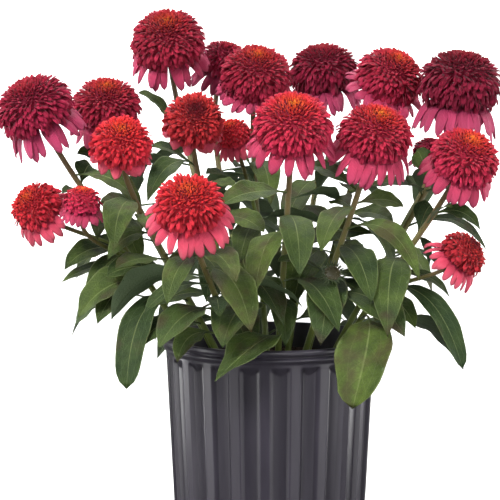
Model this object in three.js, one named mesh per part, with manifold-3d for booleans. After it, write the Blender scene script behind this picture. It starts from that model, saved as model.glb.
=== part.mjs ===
// A double-flowered coneflower, Echinacea purpurea, in a fluted black nursery pot of the two-gallon size.
// Millimetres, +Z up, the front towards -Y. The origin is the centre of the pot's base, where it stands.
//
// The pot and its soil are one node each. Each flowering stem is a node with its side branches, leaves and
// green bracts. Each bloom is two nodes by colour: the pompon of florets, and the ring of drooping rays that
// the pompon sits on. Pieces that touch keep GAP between them.

import * as THREE from "three";
import { ConvexHull } from "three/addons/math/ConvexHull.js";
import Module from "manifold-3d";

const wasm = await Module();
wasm.setup();

// ---------------------------------------------------------------- driving dimensions

const GAP = 0.3;
const SMALL_RING = 6; // a ring of this many points or fewer is closed by a fan from its first point
const HALVINGS = 24; // to find the point of a stem at one height

const POT = {
  height: 222,
  baseRadius: 94,
  shoulderRadius: 104.5,
  lipRadius: 108,
  wall: 1.8,
  floor: 3,
  flutes: 22,
  turn: 4.9, // degrees from straight right to the middle of the first rib
  fluteDepth: 3.4,
  rib: 0.36, // shares of one flute's pitch: the rib, and the floor of the recess beside it
  recess: 0.42,
  scoopFrom: 195, // the recess runs out in a scoop between these heights
  scoopTo: 204.5,
  ribRun: 4, // how much higher than the recess a rib keeps its edge
  innerTop: 211,
  innerSides: 28,
};

// The rolled rim from the shoulder up: height, then how far it stands out from the shoulder's radius.
const RIM = [
  [209.5, 0],
  [212, 2.2],
  [214.8, -0.4],
  [217.6, 3.5],
  [222, 3.5],
];

const DRAIN = { holes: 4, radius: 8, ring: 60, sides: 6 };

const SOIL = {
  level: 196,
  crown: 5,
  rough: 1.6,
  clod: 3,
  rings: [0.78, 0.42], // of the clodded top, as shares of the pot's radius
};

// rise, lean and reach shape a stem's curve: the share of its way that it stands up first, how far it stands
// up there, and how soon it turns to its bloom.
const STEM = {
  rootDepth: 22,
  foot: 3.4,
  neck: 2.6,
  sides: 5,
  rings: 6,
  rise: 0.3,
  lean: 14,
  reach: 0.24,
  socket: 0.5,
};
const BRANCH = { foot: 2.3, neck: 2, rings: 5, lean: 10, reach: 0.3 };

// Shares of the pompon's radius, in the bloom's own frame with the pompon's widest point at height 0.
const BLOOM = {
  core: 0.83, // the solid middle that the florets stand out of
  crest: 0.92, // height of the top over the widest point
  above: 0.16, // height of the lowest florets' roots over the seat
  floretsPerRadius: 0.85,
  droop: 0.1, // radians that a floret's tip hangs below its root
  eye: 0.34, // radians round the top where the florets are still short
  eyeReach: 0.93,
  ragged: 0.035, // how much the other florets differ in reach
  hub: 0.3, // radius of the plate that the rays grow from
};

const RAY = {
  plate: 1.4, // thickness of the plate, and of a ray at its ridge
  root: 0.3, // radius where a ray leaves the plate, in pompon radii
  under: [0.8, 0.02], // radius and rise of the point that draws it out under the pompon
  shoulder: 0.1, // how far inside its tip it turns down, and the share of the drop it has made there
  fall: 0.24,
  stations: [
    [0.42, 0.84],
    [0.78, 0.66],
  ], // place along the curve, and share of the room there that the ray takes
  strayTurn: 0.08, // radians, and share of the hang, by which one ray differs from the next
  strayHang: 0.09,
  least: 7.6, // rays round the smallest bloom, with one more for each so many millimetres of its radius
  perRadius: 7,
};

const CALYX = { bracts: 6, reach: 0.38, notch: 0.2, hang: 0.08, cup: 7 };

const LEAF = {
  crest: 0.6, // share of the reach at which the arch is highest, for a leaf with no stalk
  thick: 1.4,
  petiole: 1.3,
  fold: 0.2,
  wave: 0.12,
  clearance: 0.8,
  broad: 28, // from this width on a blade gets its full outline
  // share of the blade's length from the stalk, and share of its half width
  outline: [
    [0, 0],
    [0.22, 0.76],
    [0.5, 1],
    [0.82, 0.6],
  ],
  bluntOutline: [
    [0, 0],
    [0.24, 0.7],
    [0.58, 1],
    [0.89, 0.76],
  ],
  plainOutline: [
    [0.06, 0.2],
    [0.42, 1],
    [0.76, 0.64],
  ],
};

// Centre of the pompon, its radius, the way its top faces, the height of its flat seat, and the radius and depth
// of its rays' tips. The last three are in pompon radii, the heights from the pompon's widest point.
const BLOOMS = {
  "01": { at: [-231, -10, 447], radius: 38, faces: [-0.42, -0.5, 1], seat: -0.18, skirt: [1.02, 0.92] },
  "02": { at: [-170, 80, 449], radius: 35, faces: [0.05, -0.6, 1], seat: -0.18, skirt: [1.08, 0.8] },
  "03": { at: [-143, -60, 414], radius: 29, faces: [0.1, -1, 1], seat: -0.12, skirt: [1, 0.56] },
  "04": { at: [-106, 100, 517], radius: 38, faces: [-0.05, -0.85, 1], seat: -0.15, skirt: [1.1, 0.8] },
  "05": { at: [-75, -20, 436], radius: 29, faces: [0.2, -1.4, 1], seat: -0.12, skirt: [1, 0.56] },
  "06": { at: [-48, 170, 498], radius: 28, faces: [0.3, -0.2, 1], seat: -0.35, skirt: [1.08, 1.2] },
  "07": { at: [-14, 70, 481], radius: 36, faces: [0.1, -0.65, 1], seat: -0.25, skirt: [1.1, 0.62] },
  "08": { at: [-37, 30, 422], radius: 18, faces: [-0.3, -0.6, 1], seat: -0.2, skirt: [1.25, 1] },
  "09": { at: [20, -80, 430], radius: 37, faces: [0.03, -0.75, 1], seat: -0.12, skirt: [1.14, 0.72] },
  "10": { at: [59, 130, 487], radius: 36, faces: [-0.05, -0.25, 1], seat: -0.32, skirt: [1.1, 1] },
  "11": { at: [125, 75, 480], radius: 34, faces: [0.4, -0.65, 1], seat: -0.24, skirt: [1.24, 0.6] },
  "12": { at: [99, -60, 421], radius: 35, faces: [0.2, -0.65, 1], seat: -0.12, skirt: [1.14, 0.92] },
  "13": { at: [192, 30, 473], radius: 40, faces: [0.1, -0.2, 1], seat: -0.42, skirt: [1.06, 1.25] },
  "14": { at: [186, -50, 399], radius: 33, faces: [0.35, -0.7, 1], seat: -0.15, skirt: [1.1, 0.82] },
  "15": { at: [-228, -30, 352], radius: 25, faces: [-0.7, -0.9, 0.9], seat: -0.12, skirt: [1.26, 0.84] },
  "16": { at: [-181, -62, 359], radius: 18, faces: [0.1, -0.25, 1], seat: -0.3, skirt: [1.15, 1] },
  "17": { at: [-75, -150, 360], radius: 31, faces: [-0.02, -0.95, 1], seat: -0.12, skirt: [1.3, 0.78] },
  "18": { at: [186, -45, 307], radius: 23, faces: [0.8, -0.4, 0.8], seat: -0.2, skirt: [1.3, 0.95] },
  "19": { at: [170, 95, 403], radius: 18, faces: [0.1, 0.1, 1], seat: -0.3, skirt: [1.15, 0.9] },
};

// Where each main stem leaves the soil, and the blooms on its side branches with the height they fork at.
const STEMS = {
  "01": { root: [-58, -3], branches: [["15", 300], ["16", 285]] },
  "02": { root: [-45, 24], branches: [] },
  "03": { root: [-38, -20], branches: [] },
  "04": { root: [-27, 36], branches: [] },
  "05": { root: [-20, -4], branches: [] },
  "06": { root: [-10, 54], branches: [] },
  "07": { root: [-2, 20], branches: [["08", 330]] },
  "09": { root: [6, -24], branches: [] },
  "10": { root: [16, 42], branches: [] },
  "11": { root: [32, 22], branches: [] },
  "12": { root: [26, -14], branches: [] },
  "13": { root: [52, 12], branches: [["19", 310]] },
  "14": { root: [50, -16], branches: [["18", 262]] },
  "17": { root: [-20, -44], branches: [] },
};

// The leaves that show from the front: stem, height they leave it at, tip, width, rise of the arch, share of
// the length that is bare stalk, degrees that the face turns to the front, sideways bow of the midrib, and
// whether the leaf is blunt.
const FRONT_LEAVES = [
  ["14", 240, [75, -128, 171], 54, 34, 0.36, 0, 26, true],
  ["09", 222, [-53, -132, 197], 46, 30, 0.26, 10, 42],
  ["12", 284, [46, -112, 228], 40, 10, 0.12, 0, 6],
  ["17", 300, [-19, -152, 246], 37, 8, 0.1, 30, 6],
  ["03", 258, [-137, -96, 184], 31, 34, 0.25, 30, -18, true],
  ["14", 270, [186, -62, 198], 25, 24, 0.2, 40, -6, true],
  ["12", 314, [94, -108, 268], 32, 8, 0.1, 30, 0],
  ["09", 345, [26, -122, 294], 34, 8, 0.1, 0, 4],
  ["12", 330, [142, -82, 285], 26, 26, 0.12, 40, 0],
  ["17", 312, [-94, -176, 274], 27, 6, 0.12, 20, -4],
  ["03", 290, [-158, -60, 288], 31, 12, 0.12, 45, 0],
  ["03", 300, [-146, -108, 300], 27, 12, 0.12, 40, 4],
  ["01", 272, [-167, -66, 242], 29, 16, 0.15, 35, 0],
  ["17", 226, [-88, -114, 212], 26, 28, 0.3, 30, -12],
  ["12", 352, [46, -112, 316], 28, 8, 0.1, 10, 0],
  ["13", 328, [220, 20, 305], 17, 28, 0.12, 35, 0],
  ["01", 300, [-183, -42, 236], 24, 14, 0.12, 35, 6],
  ["01", 288, [-198, 22, 233], 19, 14, 0.12, 35, 0],
  ["17", 284, [-117, -140, 262], 23, 8, 0.12, 25, 0],
  ["03", 236, [-127, -84, 220], 28, 20, 0.2, 30, 0],
  ["03", 326, [-157, -62, 304], 23, 8, 0.1, 40, 0],
  ["14", 262, [140, -62, 237], 24, 8, 0.15, 35, 0],
  ["13", 265, [112, 2, 224], 24, 10, 0.2, 30, 0],
  ["09", 318, [-19, -110, 288], 27, 8, 0.1, 30, 0],
  ["12", 286, [6, -74, 277], 21, 6, 0.1, 30, 0],
  ["17", 272, [-48, -150, 260], 20, 4, 0.1, 10, 0],
  ["09", 264, [14, -78, 222], 27, 8, 0.2, 10, 0],
  ["01", 306, [-201, -42, 292], 27, 16, 0.12, 40, 0],
  ["09", 368, [-47, -92, 358], 28, 8, 0.1, 40, 0],
  ["01", 356, [-204, -30, 366], 18, 10, 0.1, 35, 0],
  ["01", 292, [-206, -24, 278], 16, 6, 0.1, 35, 0],
  ["01", 340, [-168, -46, 322], 19, 6, 0.1, 40, 0],
  ["03", 345, [-114, -92, 333], 24, 6, 0.1, 35, 0],
  ["04", 408, [-137, 84, 477], 26, 0, 0.1, 50, 0],
  ["05", 390, [-118, -12, 411], 19, 4, 0.1, 40, 0],
  ["05", 372, [-34, -54, 374], 20, 6, 0.1, 40, 0],
  ["14", 335, [174, -62, 354], 18, 6, 0.1, 40, 0],
  ["13", 372, [150, 44, 406], 26, 0, 0.1, 55, 0],
  ["10", 350, [72, 24, 394], 26, 6, 0.1, 40, 0],
  ["14", 285, [178, -22, 262], 16, 10, 0.12, 35, 0],
  ["14", 320, [161, 12, 291], 16, 10, 0.12, 35, 0],
  ["05", 300, [-62, -60, 262], 27, 8, 0.12, 20, 0],
  ["07", 330, [-30, -64, 300], 29, 8, 0.1, 20, 0],
  ["12", 368, [34, -20, 392], 23, 6, 0.1, 40, 0],
  ["10", 372, [14, -24, 352], 29, 4, 0.1, 45, 0],
  ["12", 356, [132, -20, 352], 25, 10, 0.1, 45, 0],
  ["14", 345, [206, -30, 330], 19, 14, 0.1, 45, 0],
  ["11", 360, [140, 10, 372], 23, 8, 0.1, 45, 0],
  ["07", 352, [-64, -6, 372], 27, 8, 0.1, 45, 0],
  ["05", 350, [-104, -60, 352], 27, 8, 0.1, 45, 0],
  ["07", 300, [30, -44, 330], 27, 12, 0.1, 30, 0],
  ["11", 310, [84, -46, 300], 29, 12, 0.1, 30, 0],
  ["05", 340, [-6, -56, 330], 29, 10, 0.1, 40, 0],
  ["03", 352, [-166, -40, 356], 20, 10, 0.1, 40, 0],
  ["02", 330, [-150, 10, 300], 27, 12, 0.1, 45, 0],
  ["11", 280, [116, -50, 262], 28, 14, 0.12, 30, 0],
  ["13", 300, [166, 30, 262], 27, 14, 0.12, 40, 0],
  ["05", 262, [-110, -84, 262], 29, 16, 0.15, 30, 0],
  ["02", 350, [-129, 60, 400], 27, 6, 0.1, 45, 0],
  ["04", 392, [-127, 70, 352], 27, 10, 0.1, 40, 0],
  ["01", 372, [-180, 20, 391], 26, 6, 0.1, 45, 0],
  ["02", 380, [-200, 70, 402], 24, 6, 0.1, 45, 0],
  ["07", 372, [-35, 40, 389], 27, 8, 0.1, 40, 0],
  ["10", 404, [72, 100, 405], 26, 6, 0.1, 45, 0],
  ["12", 350, [62, 0, 380], 26, 8, 0.1, 40, 0],
  ["11", 366, [85, 50, 363], 27, 8, 0.1, 40, 0],
  ["11", 338, [126, 30, 334], 27, 10, 0.1, 40, 0],
  ["13", 360, [140, 20, 371], 27, 8, 0.1, 45, 0],
  ["14", 322, [161, -10, 351], 26, 8, 0.1, 45, 0],
];

// The other leaves wind up each stem, a golden angle apart. From the lowest to the highest they get shorter,
// lose their stalks and stand up less over the rim; each differs a little from the rule.
const WHORL = {
  leaves: 6,
  golden: 137.5,
  turn: 45, // of the first leaf, from straight right towards the back
  last: 0.85, // share of the stem that bears leaves
  start: 0.4, // of the first step between leaves
  length: [120, 78],
  slim: 0.4, // width as a share of the length
  stalk: [0.34, 0.08],
  arch: [0.3, 0.12],
  sag: [0.45, 0.35],
  tilt: 40,
  bow: 0.12,
  stray: { rise: 0.35, length: 0.12, sag: 0.7 },
  spread: 200, // farthest that a tip gets from the pot's axis
};

// How far a leaf may be turned and lifted so that it clears what already grows there.
const TURNS = [0, 10, -10, 20, -20, 32, -32, 45, -45, 60, -60, 80, -80];
const LIFTS = [0, 12, -12, 26, -24];

// A closed bud on a short branch: where the branch leaves its stem, and the bud's own place and sizes.
const BUD = {
  stem: "12",
  height: 268,
  at: [58, -84, 292],
  faces: [0.1, -1, 0.7],
  radius: 7,
  foot: 2,
  neck: 1.7,
  rings: 3,
  notch: 0.7, // of the bracts' reach
  stars: [
    [1, 0.2],
    [1.5, 4],
    [0.8, 3],
  ], // reach in radii, and height
  tall: 5,
};

// ---------------------------------------------------------------- colours

const COLOURS = {
  pot: { color: "#2b2a2e", roughness: 0.42 },
  soil: { color: "#2a2018", roughness: 0.95 },
  leaf: { color: "#3f5a2c", roughness: 0.6 },
  floret: { color: "#a81f33", roughness: 0.6 },
  ray: { color: "#c8436b", roughness: 0.55 },
};

// ---------------------------------------------------------------- shared tools

const vec = (x, y, z) => new THREE.Vector3(x, y, z);

// A repeatable draw between -1 and 1, for item n of series s.
function vary(n, s) {
  const wide = Math.sin(n * 127.1 + s * 311.7) * 43758.5453;
  return 2 * (wide - Math.floor(wide)) - 1;
}

// A solid from shared points and triangles that face out.
function solidOf(points, triangles) {
  const vertProperties = new Float32Array(points.flatMap((p) => [p.x, p.y, p.z]));
  const triVerts = new Uint32Array(triangles.flat());
  return new wasm.Manifold(new wasm.Mesh({ numProp: 3, vertProperties, triVerts }));
}

// The triangles between two rings of as many points, given as point numbers. The second half of the ring is
// split the other way, so that both faces of a thin blade bend along the same lines.
function stitchPairs(a, b) {
  return a.flatMap((a0, i) => {
    const next = (i + 1) % a.length;
    const [a1, b0, b1] = [a[next], b[i], b[next]];
    return i < a.length / 2 ? [[a0, a1, b1], [a0, b1, b0]] : [[a0, a1, b0], [a1, b1, b0]];
  });
}

// The triangles between two rings. A ring of one point is a tip. Unlike counts are stitched by their share
// of the turn.
function stitch(a, b) {
  if (a.length === b.length) return stitchPairs(a, b);
  const steps = (ring) => (ring.length === 1 ? 0 : ring.length);
  const [stepsA, stepsB] = [steps(a), steps(b)];
  const made = [];
  for (let i = 0, j = 0; i < stepsA || j < stepsB; ) {
    const [a0, b0] = [a[i % a.length], b[j % b.length]];
    const alongA = j >= stepsB || (i < stepsA && (i + 1) / stepsA <= (j + 1) / stepsB);
    if (alongA) i++;
    else j++;
    made.push([a0, alongA ? a[i % a.length] : b[j % b.length], b0]);
  }
  return made;
}

// A solid skinned over a row of rings. Each ring turns anticlockwise about the way the row runs.
function skin(rings) {
  const points = [];
  const numbered = rings.map((ring) => ring.map((p) => points.push(p) - 1));
  const triangles = numbered.slice(1).flatMap((ring, i) => stitch(numbered[i], ring));
  const cap = (ring) => {
    if (ring.length <= SMALL_RING) return ring.slice(2).map((n, i) => [ring[0], ring[i + 1], n]);
    const middle = points.push(middleOf(ring.map((n) => points[n]))) - 1;
    return ring.map((n, i) => [n, ring[(i + 1) % ring.length], middle]);
  };
  triangles.push(...cap(numbered[0].toReversed()), ...cap(numbered.at(-1)));
  return solidOf(points, triangles);
}

const middleOf = (points) => points.reduce((sum, p) => sum.add(p), vec(0, 0, 0)).divideScalar(points.length);

// A level ring of points round the Z axis; radius may be a number or a function of the point's number.
function levelRing(sides, radius, z, start = 0) {
  return Array.from({ length: sides }, (_, i) => {
    const angle = start + (2 * Math.PI * i) / sides;
    const r = typeof radius === "function" ? radius(i) : radius;
    return vec(r * Math.cos(angle), r * Math.sin(angle), z);
  });
}

const joined = (solids) => solids.reduce((sum, s) => sum.add(s));

// ---------------------------------------------------------------- pot and soil

const wallRadius = (z) => THREE.MathUtils.lerp(POT.baseRadius, POT.shoulderRadius, z / RIM[0][0]);
const innerRadius = (z) => wallRadius(z) - POT.fluteDepth - POT.wall;

// A ring of the wall: each flute gives it a point at each corner named, as a share of the flute's pitch from
// the middle of its rib, how far the point stands in, and its height.
function wallRing(corners) {
  const pitch = (2 * Math.PI) / POT.flutes;
  return Array.from({ length: POT.flutes }, (_, i) =>
    corners.map(([share, inset, z]) => {
      const r = wallRadius(z) - inset;
      const angle = (i + share) * pitch + THREE.MathUtils.degToRad(POT.turn);
      return vec(r * Math.cos(angle), r * Math.sin(angle), z);
    }),
  ).flat();
}

// A broad recess between two ribs, at the heights given for the ribs and the recess.
function flutedRing(depth, ribZ, recessZ) {
  return wallRing([
    [-POT.rib / 2, 0, ribZ],
    [POT.rib / 2, 0, ribZ],
    [0.5 - POT.recess / 2, depth, recessZ],
    [0.5 + POT.recess / 2, depth, recessZ],
  ]);
}

function makePot() {
  const corners = [-POT.rib / 2, POT.rib / 2];
  const rimRing = (radius, z) => wallRing(corners.map((share) => [share, wallRadius(z) - radius, z]));
  const outside = [
    flutedRing(POT.fluteDepth, 0, 0),
    flutedRing(POT.fluteDepth, POT.scoopFrom + POT.ribRun, POT.scoopFrom),
    flutedRing(0, POT.scoopTo, POT.scoopTo),
    ...RIM.map(([z, out]) => rimRing(POT.shoulderRadius + out, z)),
  ];
  const inside = [
    rimRing(POT.lipRadius - POT.wall * 2, POT.height),
    levelRing(POT.innerSides, innerRadius(POT.innerTop), POT.innerTop),
    levelRing(POT.innerSides, innerRadius(POT.floor), POT.floor),
  ];
  const drains = Array.from({ length: DRAIN.holes }, (_, i) => {
    const angle = (2 * Math.PI * (i + 0.5)) / DRAIN.holes;
    const centre = vec(DRAIN.ring * Math.cos(angle), DRAIN.ring * Math.sin(angle), 0);
    const ring = (z) => levelRing(DRAIN.sides, DRAIN.radius, z).map((p) => p.add(centre));
    return skin([ring(-1), ring(POT.floor + 1)]);
  });
  return drains.reduce((pot, drain) => pot.subtract(drain), skin([...outside, ...inside]));
}

// Potting mix: a low mound with a clodded top, and a plain socket for each stem.
function makeSoil(sockets) {
  const edge = (z) => levelRing(POT.innerSides, innerRadius(z) - GAP, z);
  const side = [edge(POT.floor + GAP), edge(SOIL.level)];
  const top = SOIL.rings.map((share, row) => {
    const count = POT.innerSides / 2;
    const ring = levelRing(count, (i) => innerRadius(SOIL.level) * share + SOIL.clod * vary(i, row), 0);
    ring.forEach((p, i) => {
      p.z = SOIL.level + SOIL.crown * (1 - share) + SOIL.rough * vary(i, row + 2);
    });
    return ring;
  });
  const mound = skin([...side, ...top, [vec(0, 0, SOIL.level + SOIL.crown)]]);
  return sockets.reduce((soil, socket) => soil.subtract(socket), mound);
}

// ---------------------------------------------------------------- stems

// Heights of a bloom's parts along its own axis, from the pompon's seat down to the stem.
function levelsOf(bloom) {
  const plateTop = bloom.seat * bloom.radius - GAP;
  const plateBottom = plateTop - RAY.plate;
  return { plateTop, plateBottom, neck: plateBottom - GAP - CALYX.cup };
}

// Moves a point from a bloom's own frame to the plant's.
function placer({ at, faces }) {
  const turn = new THREE.Quaternion().setFromUnitVectors(vec(0, 0, 1), vec(...faces).normalize());
  return (p) => p.clone().applyQuaternion(turn).add(vec(...at));
}

// The line of a stem from one point to the neck of a bloom, which it meets square on.
function stemLine(from, bloom, { lean, reach }) {
  const place = placer(bloom);
  const { neck } = levelsOf(bloom);
  const top = place(vec(0, 0, neck));
  const behind = place(vec(0, 0, neck - reach * from.distanceTo(top)));
  const rise = from.clone().lerp(top, STEM.rise).add(vec(0, 0, lean));
  return new THREE.CubicBezierCurve3(from, rise, behind, top);
}

// A ring of points round a line at a share of its length. Its radius, and how far it is lifted along the
// line, may change from point to point.
function ringRound(line, share, sides, radius, lift = () => 0) {
  const along = line.getTangent(share);
  const side = vec(0, 1, 0).addScaledVector(along, -along.y).normalize();
  const across = along.clone().cross(side);
  const middle = line.getPoint(share);
  return levelRing(sides, radius, 0).map((p, i) =>
    middle.clone().addScaledVector(side, p.x).addScaledVector(across, p.y).addScaledVector(along, lift(i)),
  );
}

// The rings of a tapering stem.
function stemRings(line, { foot, neck, rings }) {
  return Array.from({ length: rings + 1 }, (_, i) =>
    ringRound(line, i / rings, STEM.sides, THREE.MathUtils.lerp(foot, neck, i / rings)),
  );
}

// A stem that widens into the green cup of pointed bracts under its bloom.
function bearingStem(line, sizes, bloom) {
  const bract = (i) => i % 2 === 0;
  const star = ringRound(
    line,
    1,
    CALYX.bracts * 2,
    (i) => bloom.radius * (bract(i) ? CALYX.reach : CALYX.notch),
    (i) => CALYX.cup - (bract(i) ? CALYX.hang * bloom.radius : 0),
  );
  return skin([...stemRings(line, sizes), star]);
}

// The point of a rising line at one height.
function atHeight(line, z) {
  let [low, high] = [0, 1];
  for (let i = 0; i < HALVINGS; i++) {
    const middle = (low + high) / 2;
    if (line.getPoint(middle).z < z) low = middle;
    else high = middle;
  }
  return line.getPoint(low);
}

// A closed green bud on a short branch: pointed bracts held up round a low dome.
function makeBud(from) {
  const place = placer(BUD);
  const { radius } = BUD;
  const line = new THREE.QuadraticBezierCurve3(from, place(vec(0, 0, -3 * radius)), place(vec(0, 0, 0)));
  const star = ([share, height]) =>
    ringRound(line, 1, CALYX.bracts * 2, (i) => radius * share * (i % 2 ? BUD.notch : 1), () => height);
  return skin([...stemRings(line, BUD), ...BUD.stars.map(star), [place(vec(0, 0, BUD.tall))]]);
}

function makeStem(name) {
  const { root, branches } = STEMS[name];
  const line = stemLine(vec(...root, SOIL.level - STEM.rootDepth), BLOOMS[name], STEM);
  const parts = [bearingStem(line, STEM, BLOOMS[name])];
  for (const [bloom, height] of branches) {
    const fork = stemLine(atHeight(line, height), BLOOMS[bloom], BRANCH);
    parts.push(bearingStem(fork, BRANCH, BLOOMS[bloom]));
  }
  if (BUD.stem === name) parts.push(makeBud(atHeight(line, BUD.height)));
  const round = STEM.foot + STEM.socket;
  const socket = [0, 1].map((i) => ringRound(line, i / STEM.rings, STEM.sides, round, () => (i ? 0 : -GAP)));
  return { line, solid: joined(parts), socket: skin(socket) };
}

// ---------------------------------------------------------------- leaves

// The midrib of a leaf, from its stem over an arch to its tip. The longer the stalk, the later it falls.
function midrib({ from, tip, arch, stalk, bow }) {
  const crest = from.clone().lerp(tip, LEAF.crest + (1 - LEAF.crest) * stalk);
  const heading = tip.clone().sub(from).setZ(0).normalize();
  crest.x -= heading.y * bow;
  crest.y += heading.x * bow;
  crest.z = Math.max(from.z, tip.z) + arch;
  return new THREE.QuadraticBezierCurve3(from, crest, tip);
}

// A leaf blade folded a little along its midrib, with waved edges. grow thickens it, to test its clearance.
function blade(leaf, grow = 0) {
  const line = midrib(leaf);
  const section = (share, half, wave) => {
    const along = line.getTangent(share);
    const heading = along.clone().setZ(0).normalize();
    const level = vec(-heading.y, heading.x, 0);
    const roll = THREE.MathUtils.degToRad(leaf.tilt) * heading.x;
    const across = level.clone().applyAxisAngle(along, roll);
    const up = along.clone().cross(across);
    const middle = line.getPoint(share);
    const edge = (side) =>
      middle
        .clone()
        .addScaledVector(across, side * (half + grow))
        .addScaledVector(up, half * (LEAF.fold + wave * vary(leaf.number, 3 * share + side)));
    const thick = LEAF.thick / 2 + grow;
    return [
      edge(1),
      middle.clone().addScaledVector(up, thick),
      edge(-1),
      middle.clone().addScaledVector(up, -thick),
    ];
  };
  const sections = leaf.outline.map(([place, wide]) => {
    const half = Math.max((wide * leaf.width) / 2, LEAF.petiole);
    return section(leaf.stalk + (1 - leaf.stalk) * place, half, LEAF.wave);
  });
  return skin([section(0, LEAF.petiole, 0), ...sections, [leaf.tip.clone()]]);
}

// The leaf as it grows when turned about its stem and lifted at the tip.
function bent(leaf, turn, lift) {
  const reach = leaf.tip.clone().sub(leaf.from);
  reach.applyAxisAngle(vec(0, 0, 1), THREE.MathUtils.degToRad(turn));
  const tip = leaf.from.clone().add(reach);
  tip.z += lift;
  return { ...leaf, tip };
}

// The leaves that wind up a stem. The stems at the front have their lowest leaf in the list above.
function whorlOf(stem, line, order) {
  const { lerp, degToRad } = THREE.MathUtils;
  const first = STEMS[stem].root[1] < 0 ? 1 : 0;
  return Array.from({ length: WHORL.leaves - first }, (_, i) => {
    const k = first + i;
    const rise = (k + WHORL.start + WHORL.stray.rise * vary(order, k)) / WHORL.leaves;
    const from = atHeight(line, lerp(SOIL.level + SOIL.crown, line.getPoint(1).z, rise * WHORL.last));
    const length = lerp(...WHORL.length, rise) * (1 + WHORL.stray.length * vary(order, k + 5));
    const angle = degToRad(WHORL.turn + WHORL.golden * (k + order * WHORL.leaves));
    const sag = length * lerp(...WHORL.sag, rise) * (1 + WHORL.stray.sag * vary(order, k + 9));
    const tip = from.clone().add(vec(length * Math.cos(angle), length * Math.sin(angle), -sag));
    const drawnIn = Math.min(1, WHORL.spread / Math.hypot(tip.x, tip.y));
    tip.x *= drawnIn;
    tip.y *= drawnIn;
    return {
      stem,
      from,
      tip,
      width: length * WHORL.slim,
      arch: length * lerp(...WHORL.arch, rise),
      stalk: lerp(...WHORL.stalk, rise),
      tilt: WHORL.tilt * vary(order, k + 13),
      bow: length * WHORL.bow * vary(order, k + 17),
      outline: LEAF.plainOutline,
    };
  });
}

const apart = (a, b) => [0, 1, 2].some((i) => a.max[i] < b.min[i] || b.max[i] < a.min[i]);

// True if a solid meets none of the others.
function clears(solid, others) {
  const box = solid.boundingBox();
  return others.every((other) => apart(box, other.boundingBox()) || solid.intersect(other).isEmpty());
}

// The first way of turning and lifting a leaf that clears what already grows there, or nothing.
function settle(leaf, others) {
  for (const turn of TURNS) {
    for (const lift of LIFTS) {
      const tried = bent(leaf, turn, lift);
      if (clears(blade(tried, LEAF.clearance), others)) return tried;
    }
  }
  return null;
}

// ---------------------------------------------------------------- blooms

// The surface of a pompon in one direction, at a share of its full size: a dome with a flat seat.
function domePoint(direction, share, { radius, seat }) {
  const p = direction.clone().multiplyScalar(share * radius);
  if (p.z > 0) p.z *= BLOOM.crest;
  if (share <= BLOOM.core && p.z < seat * radius) p.multiplyScalar((seat * radius) / p.z);
  return p;
}

// A dome covered with pointed florets. Each floret is a pyramid over its own cell of a spiral pattern. Its
// tip hangs a little below its root. Round the eye at the top the florets are still short.
function makeFlorets(bloom) {
  const { radius, seat } = bloom;
  const count = Math.round(radius * BLOOM.floretsPerRadius);
  const golden = Math.PI * (3 - Math.sqrt(5));
  const roots = Array.from({ length: count }, (_, i) => {
    const z = 1 - ((i + 0.5) / count) * (1 - seat - BLOOM.above);
    const r = Math.sqrt(1 - z * z);
    return vec(r * Math.cos(i * golden), r * Math.sin(i * golden), z);
  });
  roots.push(vec(0, 0, -1));
  const tips = roots.map((root, i) => {
    if (i === count) return vec(0, 0, seat * radius);
    const angle = Math.acos(root.z);
    const hang = angle + BLOOM.droop * Math.min(angle, 1);
    const aim = vec(0, 0, 1).applyAxisAngle(vec(-root.y, root.x, 0).normalize(), hang);
    const reach = angle < BLOOM.eye ? BLOOM.eyeReach : 1 + BLOOM.ragged * vary(i, radius);
    return domePoint(aim, reach, bloom);
  });
  const points = [...tips];
  const hull = new ConvexHull().setFromPoints(roots);
  const valleys = new Map(
    hull.faces.map((face) => {
      const corners = [face.getEdge(0), face.getEdge(1), face.getEdge(2)].map((edge) => edge.head().point);
      return [face, points.push(domePoint(middleOf(corners).normalize(), BLOOM.core, bloom)) - 1];
    }),
  );
  const triangles = hull.faces.flatMap((face) =>
    [0, 1, 2].map((i) => {
      const edge = face.getEdge(i);
      return [roots.indexOf(edge.tail().point), valleys.get(edge.twin.face), valleys.get(face)];
    }),
  );
  return solidOf(points.map(placer(bloom)), triangles);
}

// The curve that a ray follows, as radius and height in the bloom's frame: out under the pompon, then down.
function rayCurve({ radius, skirt: [reach, depth] }, start, hang) {
  const drop = (depth * radius + start) * hang;
  const point = (r, z) => new THREE.Vector2(r * radius, start + z);
  const [under, rise] = RAY.under;
  return new THREE.CubicBezierCurve(
    point(RAY.root, 0),
    point(under, rise * radius),
    point(reach - RAY.shoulder, -drop * RAY.fall),
    point(reach, -drop),
  );
}

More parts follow.
